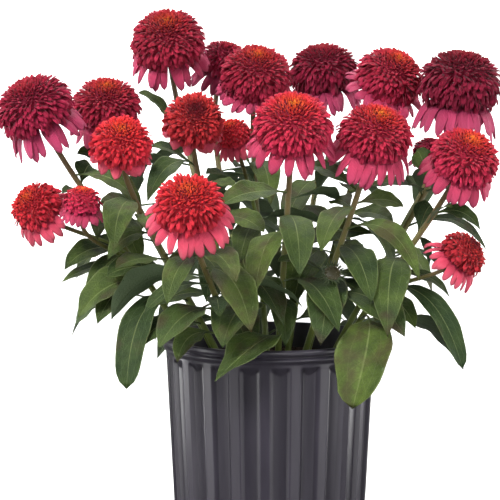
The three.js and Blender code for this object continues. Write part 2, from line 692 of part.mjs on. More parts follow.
// A ring of drooping rays round a small plate, skinned as one piece. Each ray is ridged along its middle.
function makeRays(bloom) {
  const { radius } = bloom;
  const { plateTop, plateBottom } = levelsOf(bloom);
  const count = Math.round(RAY.least + radius / RAY.perRadius);
  const step = (2 * Math.PI) / count;
  const hub = BLOOM.hub * radius;
  const points = [vec(0, 0, plateTop), vec(0, 0, plateBottom)];
  const tops = levelRing(count, hub, plateTop).map((p) => points.push(p) - 1);
  const feet = levelRing(count, hub, plateBottom, -step / 2).map((p) => points.push(p) - 1);
  const triangles = [];
  for (let i = 0; i < count; i++) {
    const next = (i + 1) % count;
    triangles.push([0, tops[i], tops[next]], [1, feet[next], feet[i]], [tops[i], feet[next], tops[next]]);
    const angle = i * step + RAY.strayTurn * vary(i, radius);
    const out = vec(Math.cos(angle), Math.sin(angle), 0);
    const across = vec(-out.y, out.x, 0);
    const curve = rayCurve(bloom, plateBottom, 1 + RAY.strayHang * vary(i, radius + 1));
    let ring = [feet[next], tops[i], feet[i]];
    for (const [share, room] of RAY.stations) {
      const at = curve.getPoint(share);
      const half = room * at.x * Math.tan(step / 2);
      const slope = curve.getTangent(share);
      const middle = out.clone().multiplyScalar(at.x).setZ(at.y);
      const up = out.clone().multiplyScalar(-slope.y).setZ(slope.x);
      const edge = (side) => points.push(middle.clone().addScaledVector(across, side * half)) - 1;
      const section = [edge(1), points.push(middle.clone().addScaledVector(up, RAY.plate)) - 1, edge(-1)];
      triangles.push(...stitch(ring, section));
      ring = section;
    }
    const end = curve.getPoint(1);
    triangles.push(...stitch(ring, [points.push(out.clone().multiplyScalar(end.x).setZ(end.y)) - 1]));
  }
  return solidOf(points.map(placer(bloom)), triangles);
}

// ---------------------------------------------------------------- the plant

const nodes = new Map();
const stems = new Map(Object.keys(STEMS).sort().map((name) => [name, makeStem(name)]));
nodes.set("pot", { solid: makePot(), look: "pot" });
nodes.set("soil", { solid: makeSoil([...stems.values()].map((stem) => stem.socket)), look: "soil" });
for (const [name, bloom] of Object.entries(BLOOMS)) {
  nodes.set(`bloom_${name}_florets`, { solid: makeFlorets(bloom), look: "floret" });
  nodes.set(`bloom_${name}_rays`, { solid: makeRays(bloom), look: "ray" });
}

// The front leaves settle first and the rest fill in round them.
const fixed = [...nodes.values()].map((node) => node.solid);
const wanted = [
  ...FRONT_LEAVES.map(([stem, height, tip, width, arch, stalk, tilt, bow, blunt]) => {
    const from = atHeight(stems.get(stem).line, height);
    const fair = width < LEAF.broad ? LEAF.plainOutline : LEAF.outline;
    const outline = blunt ? LEAF.bluntOutline : fair;
    return { stem, from, tip: vec(...tip), width, arch, stalk, tilt, bow, outline };
  }),
  ...[...stems].flatMap(([name, stem], order) => whorlOf(name, stem.line, order)),
];
const grown = new Map([...stems.keys()].map((name) => [name, []]));
wanted.forEach((leaf, number) => {
  const others = [...stems].filter(([name]) => name !== leaf.stem).map(([, stem]) => stem.solid);
  const settled = settle({ ...leaf, number }, [...fixed, ...others, ...[...grown.values()].flat()]);
  if (settled) grown.get(leaf.stem).push(blade(settled));
});
for (const [name, stem] of stems) {
  nodes.set(`leafy_stem_${name}`, { solid: joined([stem.solid, ...grown.get(name)]), look: "leaf" });
}

// A named mesh from a solid.
function meshOf(name, { solid, look }) {
  const { vertProperties, triVerts } = solid.getMesh();
  const geometry = new THREE.BufferGeometry();
  geometry.setAttribute("position", new THREE.BufferAttribute(new Float32Array(vertProperties), 3));
  geometry.setIndex(new THREE.BufferAttribute(new Uint32Array(triVerts), 1));
  geometry.computeVertexNormals();
  const mesh = new THREE.Mesh(geometry, new THREE.MeshStandardMaterial({ ...COLOURS[look], metalness: 0 }));
  mesh.name = name;
  return mesh;
}

const plant = new THREE.Group();
for (const [name, node] of nodes) plant.add(meshOf(name, node));
export default plant;
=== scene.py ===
"""A double-flowered coneflower in a fluted nursery pot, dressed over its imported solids.

The forms are worked out in millimetres and turned to metres as each mesh is closed. +Z is up and the front is
towards -Y. The curves of the stems, leaves and rays repeat the ones that the solids follow.
"""

import logging
import math
from collections.abc import Callable, Iterator
from dataclasses import dataclass, replace
from enum import Enum
from itertools import islice

import bmesh
import bpy
from mathutils import Matrix, Quaternion, Vector
from mathutils.kdtree import KDTree


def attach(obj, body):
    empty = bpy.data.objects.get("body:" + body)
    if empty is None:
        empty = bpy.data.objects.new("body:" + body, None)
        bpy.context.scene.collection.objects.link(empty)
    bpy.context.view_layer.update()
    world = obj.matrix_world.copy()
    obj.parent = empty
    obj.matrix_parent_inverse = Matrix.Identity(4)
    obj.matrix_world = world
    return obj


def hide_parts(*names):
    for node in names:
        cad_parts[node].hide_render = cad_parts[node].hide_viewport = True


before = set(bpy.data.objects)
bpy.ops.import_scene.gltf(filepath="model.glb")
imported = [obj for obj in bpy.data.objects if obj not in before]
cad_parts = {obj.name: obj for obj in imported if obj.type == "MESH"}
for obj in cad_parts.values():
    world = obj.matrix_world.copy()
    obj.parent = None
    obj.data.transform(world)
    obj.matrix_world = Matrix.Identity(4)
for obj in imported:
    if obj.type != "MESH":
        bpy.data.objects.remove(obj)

log = logging.getLogger("coneflower")

MM = 0.001
GAP = 0.3
UP = Vector((0, 0, 1))
ROOT = "root"
LAYERS = ("along", "across", "upper", "polar", "kin")
HALVINGS = 24  # to find the point of a curve at one height

Section = Callable[[float, float], Vector]


# ---------------------------------------------------------------- shared tools


def vary(n: float, series: float) -> float:
    """Draws a repeatable number.

    Args:
        n: Number of the item.
        series: Number of the series it belongs to.

    Returns:
        A value between -1 and 1.
    """
    wide = math.sin(n * 127.1 + series * 311.7) * 43758.5453
    return 2 * (wide - math.floor(wide)) - 1


def lerp(low: float, high: float, share: float) -> float:
    """Returns the value at a share of the way from low to high."""
    return low + (high - low) * share


def ease(low: float, high: float, value: float) -> float:
    """Returns 0 below low, 1 above high, and a smooth rise between them."""
    share = min(1.0, max(0.0, (value - low) / (high - low)))
    return share * share * (3 - 2 * share)


def golden(number: int) -> float:
    """Returns the turn of an item of a spiral in which each stands a golden angle past the last."""
    return number * math.pi * (3 - math.sqrt(5))


def linear(colour: str) -> tuple[float, float, float, float]:
    """Turns a colour to Blender's linear values.

    Args:
        colour: An sRGB colour as #rrggbb.

    Returns:
        Red, green, blue and an alpha of 1.
    """
    parts = [int(colour[i : i + 2], 16) / 255 for i in (1, 3, 5)]
    red, green, blue = ((p + 0.055) ** 2.4 / 1.055**2.4 if p > 0.04045 else p / 12.92 for p in parts)
    return red, green, blue, 1.0


def per_mm(size: float) -> float:
    """Returns the texture scale at which a pattern's features are size millimetres wide."""
    return 1 / (size * MM)


class Curve:
    """A Bezier curve of three or four points."""

    def __init__(self, *points: Vector) -> None:
        """Keeps the control points."""
        self.points = points

    def last_pair(self, share: float) -> tuple[Vector, Vector]:
        """Returns the last two points of the curve's division at a share of its parameter."""
        points = list(self.points)
        while len(points) > 2:
            points = [a.lerp(b, share) for a, b in zip(points, points[1:])]
        return points[0], points[1]

    def at(self, share: float) -> Vector:
        """Returns the point at a share of the curve."""
        a, b = self.last_pair(share)
        return a.lerp(b, share)

    def heading(self, share: float) -> Vector:
        """Returns the unit direction at a share of the curve."""
        a, b = self.last_pair(share)
        return (b - a).normalized()

    def at_height(self, z: float) -> Vector:
        """Returns the point where a rising curve reaches a height."""
        low, high = 0.0, 1.0
        for _ in range(HALVINGS):
            middle = (low + high) / 2
            low, high = (middle, high) if self.at(middle).z < z else (low, middle)
        return self.at(low)


class Profile:
    """A smooth line through knots that never swings past them."""

    def __init__(self, *knots: tuple[float, float]) -> None:
        """Works out the slope at each knot.

        Args:
            knots: Pairs of place and value, in rising order of place.
        """
        self.knots = knots
        steps = [(b[1] - a[1]) / (b[0] - a[0]) for a, b in zip(knots, knots[1:])]
        inner = [2 * a * b / (a + b) if a * b > 0 else 0.0 for a, b in zip(steps, steps[1:])]
        self.slopes = [steps[0], *inner, steps[-1]]

    def at(self, place: float) -> float:
        """Returns the value at a place; beyond the ends it stays level."""
        knots = self.knots
        if place <= knots[0][0]:
            return knots[0][1]
        for i in range(len(knots) - 1):
            (x0, y0), (x1, y1) = knots[i], knots[i + 1]
            if place <= x1:
                wide = x1 - x0
                t = (place - x0) / wide
                bend = (1 - t) * self.slopes[i] * wide - t * self.slopes[i + 1] * wide
                return lerp(y0, y1, t * t * (3 - 2 * t)) + t * (1 - t) * bend
        return knots[-1][1]


@dataclass(frozen=True)
class Form:
    """A closed form that waits in a mesh as a ball: the cross-sections its rows take, and its values."""

    points: int
    rows: int
    section: Callable[[float], Section]
    polar: float
    kin: float

    def shape(self, points: Iterator[bmesh.types.BMVert], layers: list[bmesh.types.BMLayerItem]) -> None:
        """Moves the ball's points onto the form's cross-sections and fills their values.

        Args:
            points: The mesh's points, from the ball's first one on.
            layers: The mesh's layers, as in LAYERS.
        """
        along, across, upper, by_polar, by_kin = layers
        sections = [self.section(row / self.rows) for row in range(self.rows + 1)]
        for point in islice(points, self.points):
            x, y, z = point.co
            row = round(math.acos(max(-1.0, min(1.0, z))) / math.pi * self.rows)
            flat = math.hypot(x, y)
            cosine, sine = (x / flat, -y / flat) if 0 < row < self.rows else (0.0, 0.0)
            point.co = sections[row](cosine, sine)
            point[along] = row / self.rows
            point[across] = cosine
            point[upper] = sine
            point[by_polar] = self.polar
            point[by_kin] = self.kin


class Skin:
    """One mesh in the making: closed forms, each with its finish and with values on its points."""

    balls: dict[tuple[int, int], bpy.types.Mesh] = {}

    def __init__(self) -> None:
        """Starts an empty mesh with a layer for each value that the finishes read."""
        self.bm = bmesh.new()
        self.layers = [self.bm.verts.layers.float.new(name) for name in LAYERS]
        self.finishes: list[bpy.types.Material] = []
        self.runs: list[tuple[int, int]] = []
        self.forms: list[Form] = []
        self.spun = 0

    def close_run(self, finish: bpy.types.Material) -> None:
        """Gives the faces made since the last run their finish."""
        if finish not in self.finishes:
            self.finishes.append(finish)
        self.runs.append((len(self.bm.faces), self.finishes.index(finish)))

    def blank(self, around: int, rows: int) -> bpy.types.Mesh:
        """Returns a plain ball with a number of points around it and of steps from end to end."""
        if (around, rows) not in self.balls:
            bm = bmesh.new()
            for name in LAYERS:
                bm.verts.layers.float.new(name)
            bmesh.ops.create_uvsphere(bm, u_segments=around, v_segments=rows, radius=1)
            mesh = bpy.data.meshes.new("ball")
            bm.to_mesh(mesh)
            bm.free()
            self.balls[around, rows] = mesh
        return self.balls[around, rows]

    def ball(
        self,
        around: int,
        rows: int,
        section: Callable[[float], Section],
        finish: bpy.types.Material,
        polar: float = 0.0,
        kin: float = 0.0,
    ) -> None:
        """Adds a closed form: a ball whose rows of points become the form's cross-sections.

        Args:
            around: Points in a cross-section.
            rows: Steps from one end of the form to the other.
            section: Gives the cross-section at a share of the length. That takes the cosine and the sine of a
                turn about the length and gives the point there. Its own axes make a right-handed frame with
                the way the form runs.
            finish: The material of its faces.
            polar: Value for the layer of that name.
            kin: Value for the layer of that name, by which one form differs from the next.
        """
        blank = self.blank(around, rows)
        self.bm.from_mesh(blank)
        self.forms.append(Form(len(blank.vertices), rows, section, polar, kin))
        self.close_run(finish)

    def spike(self, foot: Vector, tip: Vector, radius: float, finish: bpy.types.Material) -> None:
        """Adds a three-sided bristle from its foot to its tip."""
        side = (tip - foot).orthogonal().normalized()
        across = (tip - foot).normalized().cross(side)

        def section(share: float) -> Section:
            """Returns the bristle's cross-section at a share of its rows."""
            middle = foot.lerp(tip, max(0.0, 2 * share - 1) if share != 0.5 else 0.15)
            return lambda cosine, sine: middle + (side * cosine + across * sine) * radius

        self.ball(3, 2, section, finish)

    def piece(self, name: str, slot: str, node: str) -> bpy.types.Object:
        """Closes the mesh as a piece that rides on the body and stands for a solid.

        Args:
            name: The piece's name.
            slot: Name of a material slot; not used.
            node: The solid that it replaces.

        Returns:
            The new object.
        """
        points = islice(self.bm.verts, self.spun, None)
        for form in self.forms:
            form.shape(points, self.layers)
        runs = iter(self.runs)
        end, finish = next(runs)
        for number, face in enumerate(self.bm.faces):
            while number >= end:
                end, finish = next(runs)
            face.material_index = finish
            face.smooth = True
        bmesh.ops.scale(self.bm, vec=(MM, MM, MM), verts=self.bm.verts)
        return keep_mesh(self.bm, name, self.finishes, node)


def keep_mesh(
    bm: bmesh.types.BMesh, name: str, finishes: list[bpy.types.Material], node: str
) -> bpy.types.Object:
    """Turns a finished mesh into a piece that stands for a solid.

    Args:
        bm: The mesh, in metres and in place. It is freed.
        name: The piece's name.
        finishes: The materials, in the order of the faces' material numbers.
        node: The solid that it replaces.

    Returns:
        The new object.
    """
    mesh = bpy.data.meshes.new(name)
    bm.to_mesh(mesh)
    bm.free()
    for finish in finishes:
        mesh.materials.append(finish)
    piece = bpy.data.objects.new(name, mesh)
    bpy.context.scene.collection.objects.link(piece)
    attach(piece, ROOT)
    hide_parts(node)
    mesh.calc_loop_triangles()
    log.info("%s: %d triangles, for %s", name, len(mesh.loop_triangles), node)
    return piece


# ---------------------------------------------------------------- finishes


def add(
    tree: bpy.types.NodeTree,
    kind: str,
    inputs: dict[str | int, object] | None = None,
    stops: list[tuple[float, str]] | None = None,
    **settings: object,
) -> bpy.types.Node:
    """Adds a shader node.

    Args:
        tree: The material's nodes.
        kind: The node's type, without its ShaderNode prefix.
        inputs: For each input by name or number, the output that feeds it, or its value.
        stops: Places and sRGB colours of a colour ramp.
        settings: The node's own settings.

    Returns:
        The node.
    """
    made = tree.nodes.new("ShaderNode" + kind)
    for name, value in settings.items():
        setattr(made, name, value)
    for socket, value in (inputs or {}).items():
        if isinstance(value, bpy.types.NodeSocket):
            tree.links.new(value, made.inputs[socket])
        else:
            made.inputs[socket].default_value = value
    if stops:
        ramp = made.color_ramp
        while len(ramp.elements) < len(stops):
            ramp.elements.new(1)
        for element, (place, colour) in zip(ramp.elements, stops):
            element.position = place
            element.color = linear(colour)
    return made


def values(tree: bpy.types.NodeTree, *names: str) -> list[bpy.types.NodeSocket]:
    """Returns the outputs that give the mesh's own values of these names."""
    return [add(tree, "Attribute", attribute_name=name).outputs["Fac"] for name in names]


@dataclass(frozen=True)
class Finish:
    """A surface's make-up: how rough and glossy it is, and how deep its relief reads."""

    name: str
    roughness: float
    specular: float = 0.5
    sheen: float = 0.0
    relief: float = 0.2

    def paint(self, tree: bpy.types.NodeTree) -> tuple[bpy.types.NodeSocket, bpy.types.NodeSocket]:
        """Lays out the nodes of the pattern and returns its colour and its height."""
        raise NotImplementedError

    def material(self) -> bpy.types.Material:
        """Returns a new material with this finish."""
        made = bpy.data.materials.new(self.name)
        made.use_nodes = True
        tree = made.node_tree
        tree.nodes.clear()
        colour, height = self.paint(tree)
        bump = add(tree, "Bump", {"Height": height, "Distance": self.relief * MM, "Strength": 1.0})
        surface = add(
            tree,
            "BsdfPrincipled",
            {
                "Base Color": colour,
                "Roughness": self.roughness,
                "Specular IOR Level": self.specular,
                "Sheen Weight": self.sheen,
                "Normal": bump.outputs[0],
            },
        )
        add(tree, "OutputMaterial", {"Surface": surface.outputs[0]})
        return made


@dataclass(frozen=True)
class FloretPetal(Finish):
    """Velvety disc floret: painted shade in the gaps at its root, a painted highlight along its edges, with
    the colours of the head from its eye down.
    """

    stops: tuple[tuple[float, str], ...] = ()
    painted_gap_shade: str = "#4a0c1e"
    shade: float = 1.0

    def paint(self, tree: bpy.types.NodeTree) -> tuple[bpy.types.NodeSocket, bpy.types.NodeSocket]:
        """Lays out the nodes of the pattern and returns its colour and its height."""
        polar, along, kin, across = values(tree, "polar", "along", "kin", "across")
        place = add(tree, "Math", {0: kin, 1: 0.05, 2: polar}, operation="MULTIPLY_ADD").outputs[0]
        head = add(tree, "ValToRGB", {"Fac": place}, stops=list(self.stops)).outputs[0]
        # Painted highlight: fold, the bump of the floret's fold, also lightens its colour towards its edges.
        fold = add(tree, "Math", {0: across}, operation="ABSOLUTE").outputs[0]
        value = add(tree, "Math", {0: kin, 1: 0.16, 2: self.shade - 0.1}, operation="MULTIPLY_ADD").outputs[0]
        value = add(tree, "Math", {0: fold, 1: 0.25, 2: value}, operation="MULTIPLY_ADD").outputs[0]
        own = add(tree, "HueSaturation", {"Value": value, "Color": head}).outputs[0]
        # Painted shade: the colour darkens towards each floret's root, and over the core's top, where the
        # gaps between the florets lie.
        depth = add(tree, "MapRange", {0: along, 1: 0.1, 2: 0.5, 3: 1.0, 4: 0.0}).outputs[0]
        colour = add(tree, "Mix", {0: depth, 6: own, 7: linear(self.painted_gap_shade)}, data_type="RGBA").outputs[2]
        return colour, fold


@dataclass(frozen=True)
class RayPetal(Finish):
    """Matt ray floret: rose, darker in its two grooves and towards its root, with fine lengthwise nerves."""

    tip: str = "#d0567c"
    middle: str = "#c4416a"
    root: str = "#8e1f45"
    nerves: float = 9.0

    def paint(self, tree: bpy.types.NodeTree) -> tuple[bpy.types.NodeSocket, bpy.types.NodeSocket]:
        """Lays out the nodes of the pattern and returns its colour and its height."""
        along, across, kin = values(tree, "along", "across", "kin")
        stops = [(0.3, self.root), (0.62, self.middle), (1.0, self.tip)]
        length = add(tree, "ValToRGB", {"Fac": along}, stops=stops).outputs[0]
        turn = add(tree, "Math", {0: across, 1: self.nerves * math.pi}, operation="MULTIPLY").outputs[0]
        nerve = add(tree, "Math", {0: turn}, operation="COSINE").outputs[0]
        value = add(tree, "Math", {0: nerve, 1: 0.1, 2: 1.0}, operation="MULTIPLY_ADD").outputs[0]
        value = add(tree, "Math", {0: kin, 1: 0.12, 2: value}, operation="MULTIPLY_ADD").outputs[0]
        colour = add(tree, "HueSaturation", {"Value": value, "Color": length}).outputs[0]
        return colour, nerve


@dataclass(frozen=True)
class LeafSkin(Finish):
    """Rough green leaf: paler veins sunk in a blistered face, a painted highlight along its margin, a pale
    back, and a few purple-brown stains.
    """

    dark: str = "#253419"
    light: str = "#55662d"
    cold: str = "#2a3c22"
    vein_and_edge_highlight: str = "#8e9864"
    back: str = "#56654a"
    stain: str = "#43302a"

    def paint(self, tree: bpy.types.NodeTree) -> tuple[bpy.types.NodeSocket, bpy.types.NodeSocket]:
        """Lays out the nodes of the pattern and returns its colour and its height."""
        along, across, upper, kin = values(tree, "along", "across", "upper", "kin")
        place = add(tree, "TexCoord").outputs["Object"]
        # The green, in soft patches, and colder on some leaves than on others.
        patch = add(tree, "TexNoise", {"Vector": place, "Scale": per_mm(18), "Detail": 3.0}).outputs[0]
        blister = add(tree, "TexNoise", {"Vector": place, "Scale": per_mm(2.2), "Detail": 1.0}).outputs[0]
        tone = add(tree, "Math", {0: kin, 1: 0.2, 2: patch}, operation="MULTIPLY_ADD").outputs[0]
        green = add(tree, "ValToRGB", {"Fac": tone}, stops=[(0.22, self.dark), (0.8, self.light)]).outputs[0]
        own = add(tree, "Math", {0: kin, 1: 9.7}, operation="MULTIPLY").outputs[0]
        own = add(tree, "Math", {0: own, 1: 1.0}, operation="PINGPONG").outputs[0]
        chill = add(tree, "MapRange", {0: own, 1: 0.45, 2: 1.0, 3: 0.0, 4: 0.7}).outputs[0]
        green = add(tree, "Mix", {0: chill, 6: green, 7: linear(self.cold)}, data_type="RGBA").outputs[2]
        # The veins: a fine net, the midrib that fades towards the tip, and faint side veins.
        net = add(
            tree, "TexVoronoi", {"Vector": place, "Scale": per_mm(3.2)}, feature="DISTANCE_TO_EDGE"
        ).outputs["Distance"]
        net = add(tree, "MapRange", {0: net, 1: 0.0, 2: 0.12, 3: 1.0, 4: 0.0}).outputs[0]
        out = add(tree, "Math", {0: across}, operation="ABSOLUTE").outputs[0]
        midrib = add(tree, "MapRange", {0: out, 1: 0.015, 2: 0.05, 3: 1.0, 4: 0.0}).outputs[0]
        fade = add(tree, "MapRange", {0: along, 1: 0.35, 2: 1.0, 3: 1.0, 4: 0.35}).outputs[0]
        midrib = add(tree, "Math", {0: midrib, 1: fade}, operation="MULTIPLY").outputs[0]
        off = add(tree, "Math", {0: out, 1: 0.52}, operation="SUBTRACT").outputs[0]
        off = add(tree, "Math", {0: off}, operation="ABSOLUTE").outputs[0]
        side = add(tree, "MapRange", {0: off, 1: 0.01, 2: 0.03, 3: 0.3, 4: 0.0}).outputs[0]
        lean = add(tree, "Math", {0: out, 1: -0.16, 2: along}, operation="MULTIPLY_ADD").outputs[0]
        cross = add(tree, "Math", {0: lean, 1: 0.045}, operation="PINGPONG").outputs[0]
        cross = add(tree, "MapRange", {0: cross, 1: 0.0, 2: 0.006, 3: 0.3, 4: 0.0}).outputs[0]
        fine = add(tree, "Math", {0: side, 1: cross}, operation="MAXIMUM").outputs[0]
        veins = add(tree, "Math", {0: midrib, 1: fine}, operation="MAXIMUM").outputs[0]
        # What shows of them on the face: a darker net, broken side veins and a pale margin, which is a
        # painted highlight.
        shade = add(tree, "Math", {0: net, 1: -0.2, 2: 1.05}, operation="MULTIPLY_ADD").outputs[0]
        green = add(tree, "HueSaturation", {"Value": shade, "Color": green}).outputs[0]
        broken = add(tree, "Math", {0: fine, 1: patch}, operation="MULTIPLY").outputs[0]
        broken = add(tree, "Math", {0: broken, 1: 0.55}, operation="MULTIPLY").outputs[0]
        shown = add(tree, "Math", {0: midrib, 1: 0.55, 2: broken}, operation="MULTIPLY_ADD").outputs[0]
        # Painted highlight: the blade is paler along its edge.
        margin = add(tree, "MapRange", {0: out, 1: 0.9, 2: 1.0, 3: 0.0, 4: 0.45}).outputs[0]
        shown = add(tree, "Math", {0: margin, 1: shown}, operation="MAXIMUM").outputs[0]
        face = add(tree, "Mix", {0: shown, 6: green, 7: linear(self.vein_and_edge_highlight)}, data_type="RGBA").outputs[2]
        # Stains, the pale back, and the relief.
        blot = add(tree, "TexNoise", {"Vector": place, "Scale": per_mm(26), "Detail": 4.0}).outputs[0]
        blot = add(tree, "Math", {0: kin, 1: 0.06, 2: blot}, operation="MULTIPLY_ADD").outputs[0]
        blot = add(tree, "MapRange", {0: blot, 1: 0.55, 2: 0.7, 3: 0.0, 4: 0.6}).outputs[0]
        face = add(tree, "Mix", {0: blot, 6: face, 7: linear(self.stain)}, data_type="RGBA").outputs[2]
        under = add(tree, "MapRange", {0: upper, 1: -0.25, 2: 0.05, 3: 1.0, 4: 0.0}).outputs[0]
        colour = add(tree, "Mix", {0: under, 6: face, 7: linear(self.back)}, data_type="RGBA").outputs[2]
        height = add(tree, "Math", {0: veins, 1: -1.5, 2: blister}, operation="MULTIPLY_ADD").outputs[0]
        height = add(tree, "Math", {0: net, 1: -0.5, 2: height}, operation="MULTIPLY_ADD").outputs[0]
        return colour, height


@dataclass(frozen=True)
class StemSkin(Finish):
    """Bristly stem: olive green at its foot, flushed purple-brown towards the bloom, with fine ribs."""

    low: str = "#62712c"
    high: str = "#6c5a36"
    ribs: float = 6.0

    def paint(self, tree: bpy.types.NodeTree) -> tuple[bpy.types.NodeSocket, bpy.types.NodeSocket]:
        """Lays out the nodes of the pattern and returns its colour and its height."""
        along, across = values(tree, "along", "across")
        place = add(tree, "TexCoord").outputs["Object"]
        fleck = add(tree, "TexNoise", {"Vector": place, "Scale": per_mm(3), "Detail": 3.0}).outputs[0]
        flush = add(tree, "Math", {0: fleck, 1: 0.5, 2: along}, operation="MULTIPLY_ADD").outputs[0]
        colour = add(tree, "ValToRGB", {"Fac": flush}, stops=[(0.5, self.low), (1.1, self.high)]).outputs[0]
        turn = add(tree, "Math", {0: across, 1: self.ribs * math.pi}, operation="MULTIPLY").outputs[0]
        rib = add(tree, "Math", {0: turn}, operation="COSINE").outputs[0]
        return colour, rib


@dataclass(frozen=True)
class BractSkin(Finish):
    """Green bract, yellower towards its stiff point."""

    root: str = "#4c6a2b"
    tip: str = "#a3b45c"

    def paint(self, tree: bpy.types.NodeTree) -> tuple[bpy.types.NodeSocket, bpy.types.NodeSocket]:
        """Lays out the nodes of the pattern and returns its colour and its height."""
        along = add(tree, "Attribute", attribute_name="along").outputs["Fac"]
        place = add(tree, "TexCoord").outputs["Object"]
        colour = add(tree, "ValToRGB", {"Fac": along}, stops=[(0.2, self.root), (1.0, self.tip)]).outputs[0]
        grain = add(tree, "TexNoise", {"Vector": place, "Scale": per_mm(1.5)}).outputs[0]
        return colour, grain


@dataclass(frozen=True)
class PottingBark(Finish):
    """Composted bark and peat: dark crumbs with a few paler fibres."""

    dark: str = "#17110d"
    light: str = "#4a3424"

    def paint(self, tree: bpy.types.NodeTree) -> tuple[bpy.types.NodeSocket, bpy.types.NodeSocket]:
        """Lays out the nodes of the pattern and returns its colour and its height."""
        place = add(tree, "TexCoord").outputs["Object"]
        crumb = add(tree, "TexNoise", {"Vector": place, "Scale": per_mm(4), "Detail": 6.0}).outputs[0]
        kin = add(tree, "Attribute", attribute_name="kin").outputs["Fac"]
        tone = add(tree, "Math", {0: kin, 1: 0.2, 2: crumb}, operation="MULTIPLY_ADD").outputs[0]
        stops = [(0.35, self.dark), (0.75, self.light)]
        colour = add(tree, "ValToRGB", {"Fac": tone}, stops=stops).outputs[0]
        return colour, crumb


@dataclass(frozen=True)
class PotPlastic(Finish):
    """Moulded polypropylene, satin black: ribs painted paler and flute floors painted darker as light and
    shade, and faint flow marks.
    """

    base: str = "#29262e"
    flow_marks_and_rib_light: str = "#403c46"

    def paint(self, tree: bpy.types.NodeTree) -> tuple[bpy.types.NodeSocket, bpy.types.NodeSocket]:
        """Lays out the nodes of the pattern and returns its colour and its height."""
        place = add(tree, "TexCoord").outputs["Object"]
        drawn = add(tree, "Mapping", {"Vector": place, "Scale": (1.0, 1.0, 0.15)}).outputs[0]
        flow = add(tree, "TexNoise", {"Vector": drawn, "Scale": per_mm(9), "Detail": 4.0}).outputs[0]
        grain = add(tree, "TexNoise", {"Vector": place, "Scale": per_mm(0.7), "Detail": 2.0}).outputs[0]
        marks = add(tree, "MapRange", {0: flow, 1: 0.4, 2: 0.75, 3: 0.0, 4: 0.3}).outputs[0]
        # Painted light and shade: the ribs lighter and the flute floors darker, added to the flow marks.
        rib_light_flute_shade = add(tree, "Attribute", attribute_name="rib_light_flute_shade").outputs["Fac"]
        amount = add(tree, "Math", {0: rib_light_flute_shade, 1: 0.26, 2: marks}, operation="MULTIPLY_ADD").outputs[0]
        colour = add(
            tree, "Mix", {0: amount, 6: linear(self.base), 7: linear(self.flow_marks_and_rib_light)}, data_type="RGBA"
        ).outputs[2]
        return colour, grain


class Age(Enum):
    """How far a bloom has opened, which sets its colours."""

    FRESH = "fresh"
    DARK_EYED = "dark_eyed"
    FULL = "full"
    RIPE = "ripe"
    DEEP = "deep"

    def looseness(self) -> float:
        """Returns how freely the florets stray, as a share of how much a full bloom's do."""
        return 1.4 if self in (Age.FRESH, Age.DARK_EYED) else 1.0


# For each age: the painted shade of the gaps between the florets, and the head's colours from the eye down.
FLORETS = {
    age: FloretPetal(f"{age.value}_floret", 0.75, 0.08, 0.08, stops=stops, painted_gap_shade=painted_gap_shade)
    for age, painted_gap_shade, stops in (
        (
            Age.FRESH,
            "#6c101c",
            ((0.0, "#dc642a"), (0.1, "#dc4a2c"), (0.24, "#d0302e"), (0.5, "#ca2a34"), (1.0, "#c43246")),
        ),
        (
            Age.DARK_EYED,
            "#5c0c18",
            ((0.0, "#4e1018"), (0.16, "#7c1820"), (0.32, "#c43230"), (1.0, "#b62c3e")),
        ),
        (
            Age.FULL,
            "#6e1428",
            ((0.0, "#e8802c"), (0.1, "#e4552e"), (0.24, "#d83636"), (0.46, "#c22c42"), (1.0, "#b82c50")),
        ),
        (
            Age.RIPE,
            "#5c1022",
            ((0.0, "#d86c2c"), (0.09, "#cc442c"), (0.24, "#b42c32"), (0.46, "#a6263a"), (1.0, "#a22646")),
        ),
        (
            Age.DEEP,
            "#4c0c1e",
            ((0.0, "#a62e36"), (0.2, "#9a2034"), (0.5, "#901c36"), (1.0, "#942140")),
        ),
    )
}
RAYS = {
    age: RayPetal(f"{age.value}_ray", 0.55, 0.2, 0.05, 0.15, tip=tip, middle=middle, root=root)
    for age, tip, middle, root in (
        (Age.FRESH, "#e26478", "#d44660", "#a4203a"),
        (Age.DARK_EYED, "#e26478", "#d44660", "#a4203a"),
        (Age.FULL, "#ca4c70", "#bc385a", "#902040"),
        (Age.RIPE, "#c24a70", "#b23659", "#842040"),
        (Age.DEEP, "#bc486e", "#a83258", "#741a38"),
    )
}
LEAF = LeafSkin("coneflower_leaf", 0.5, 0.14, 0.0, 0.35)
STEM_SKIN = StemSkin("bristly_stem", 0.5, 0.4, 0.1, 0.12)
BRACT = BractSkin("green_bract", 0.5, 0.4, 0.1, 0.1)
BUD_HEART = BractSkin("bud_heart", 0.5, 0.3, 0.1, 0.1, root="#2e2b16", tip="#544a22")
BUD_BRACT = BractSkin("bud_bract", 0.5, 0.3, 0.1, 0.1, root="#27331c", tip="#44532c")
BARK = PottingBark("composted_bark", 0.95, 0.2, 0.0, 1.5)
PLASTIC = PotPlastic("moulded_polypropylene", 0.3, 0.4, 0.0, 0.02)


# ---------------------------------------------------------------- pot and potting mix


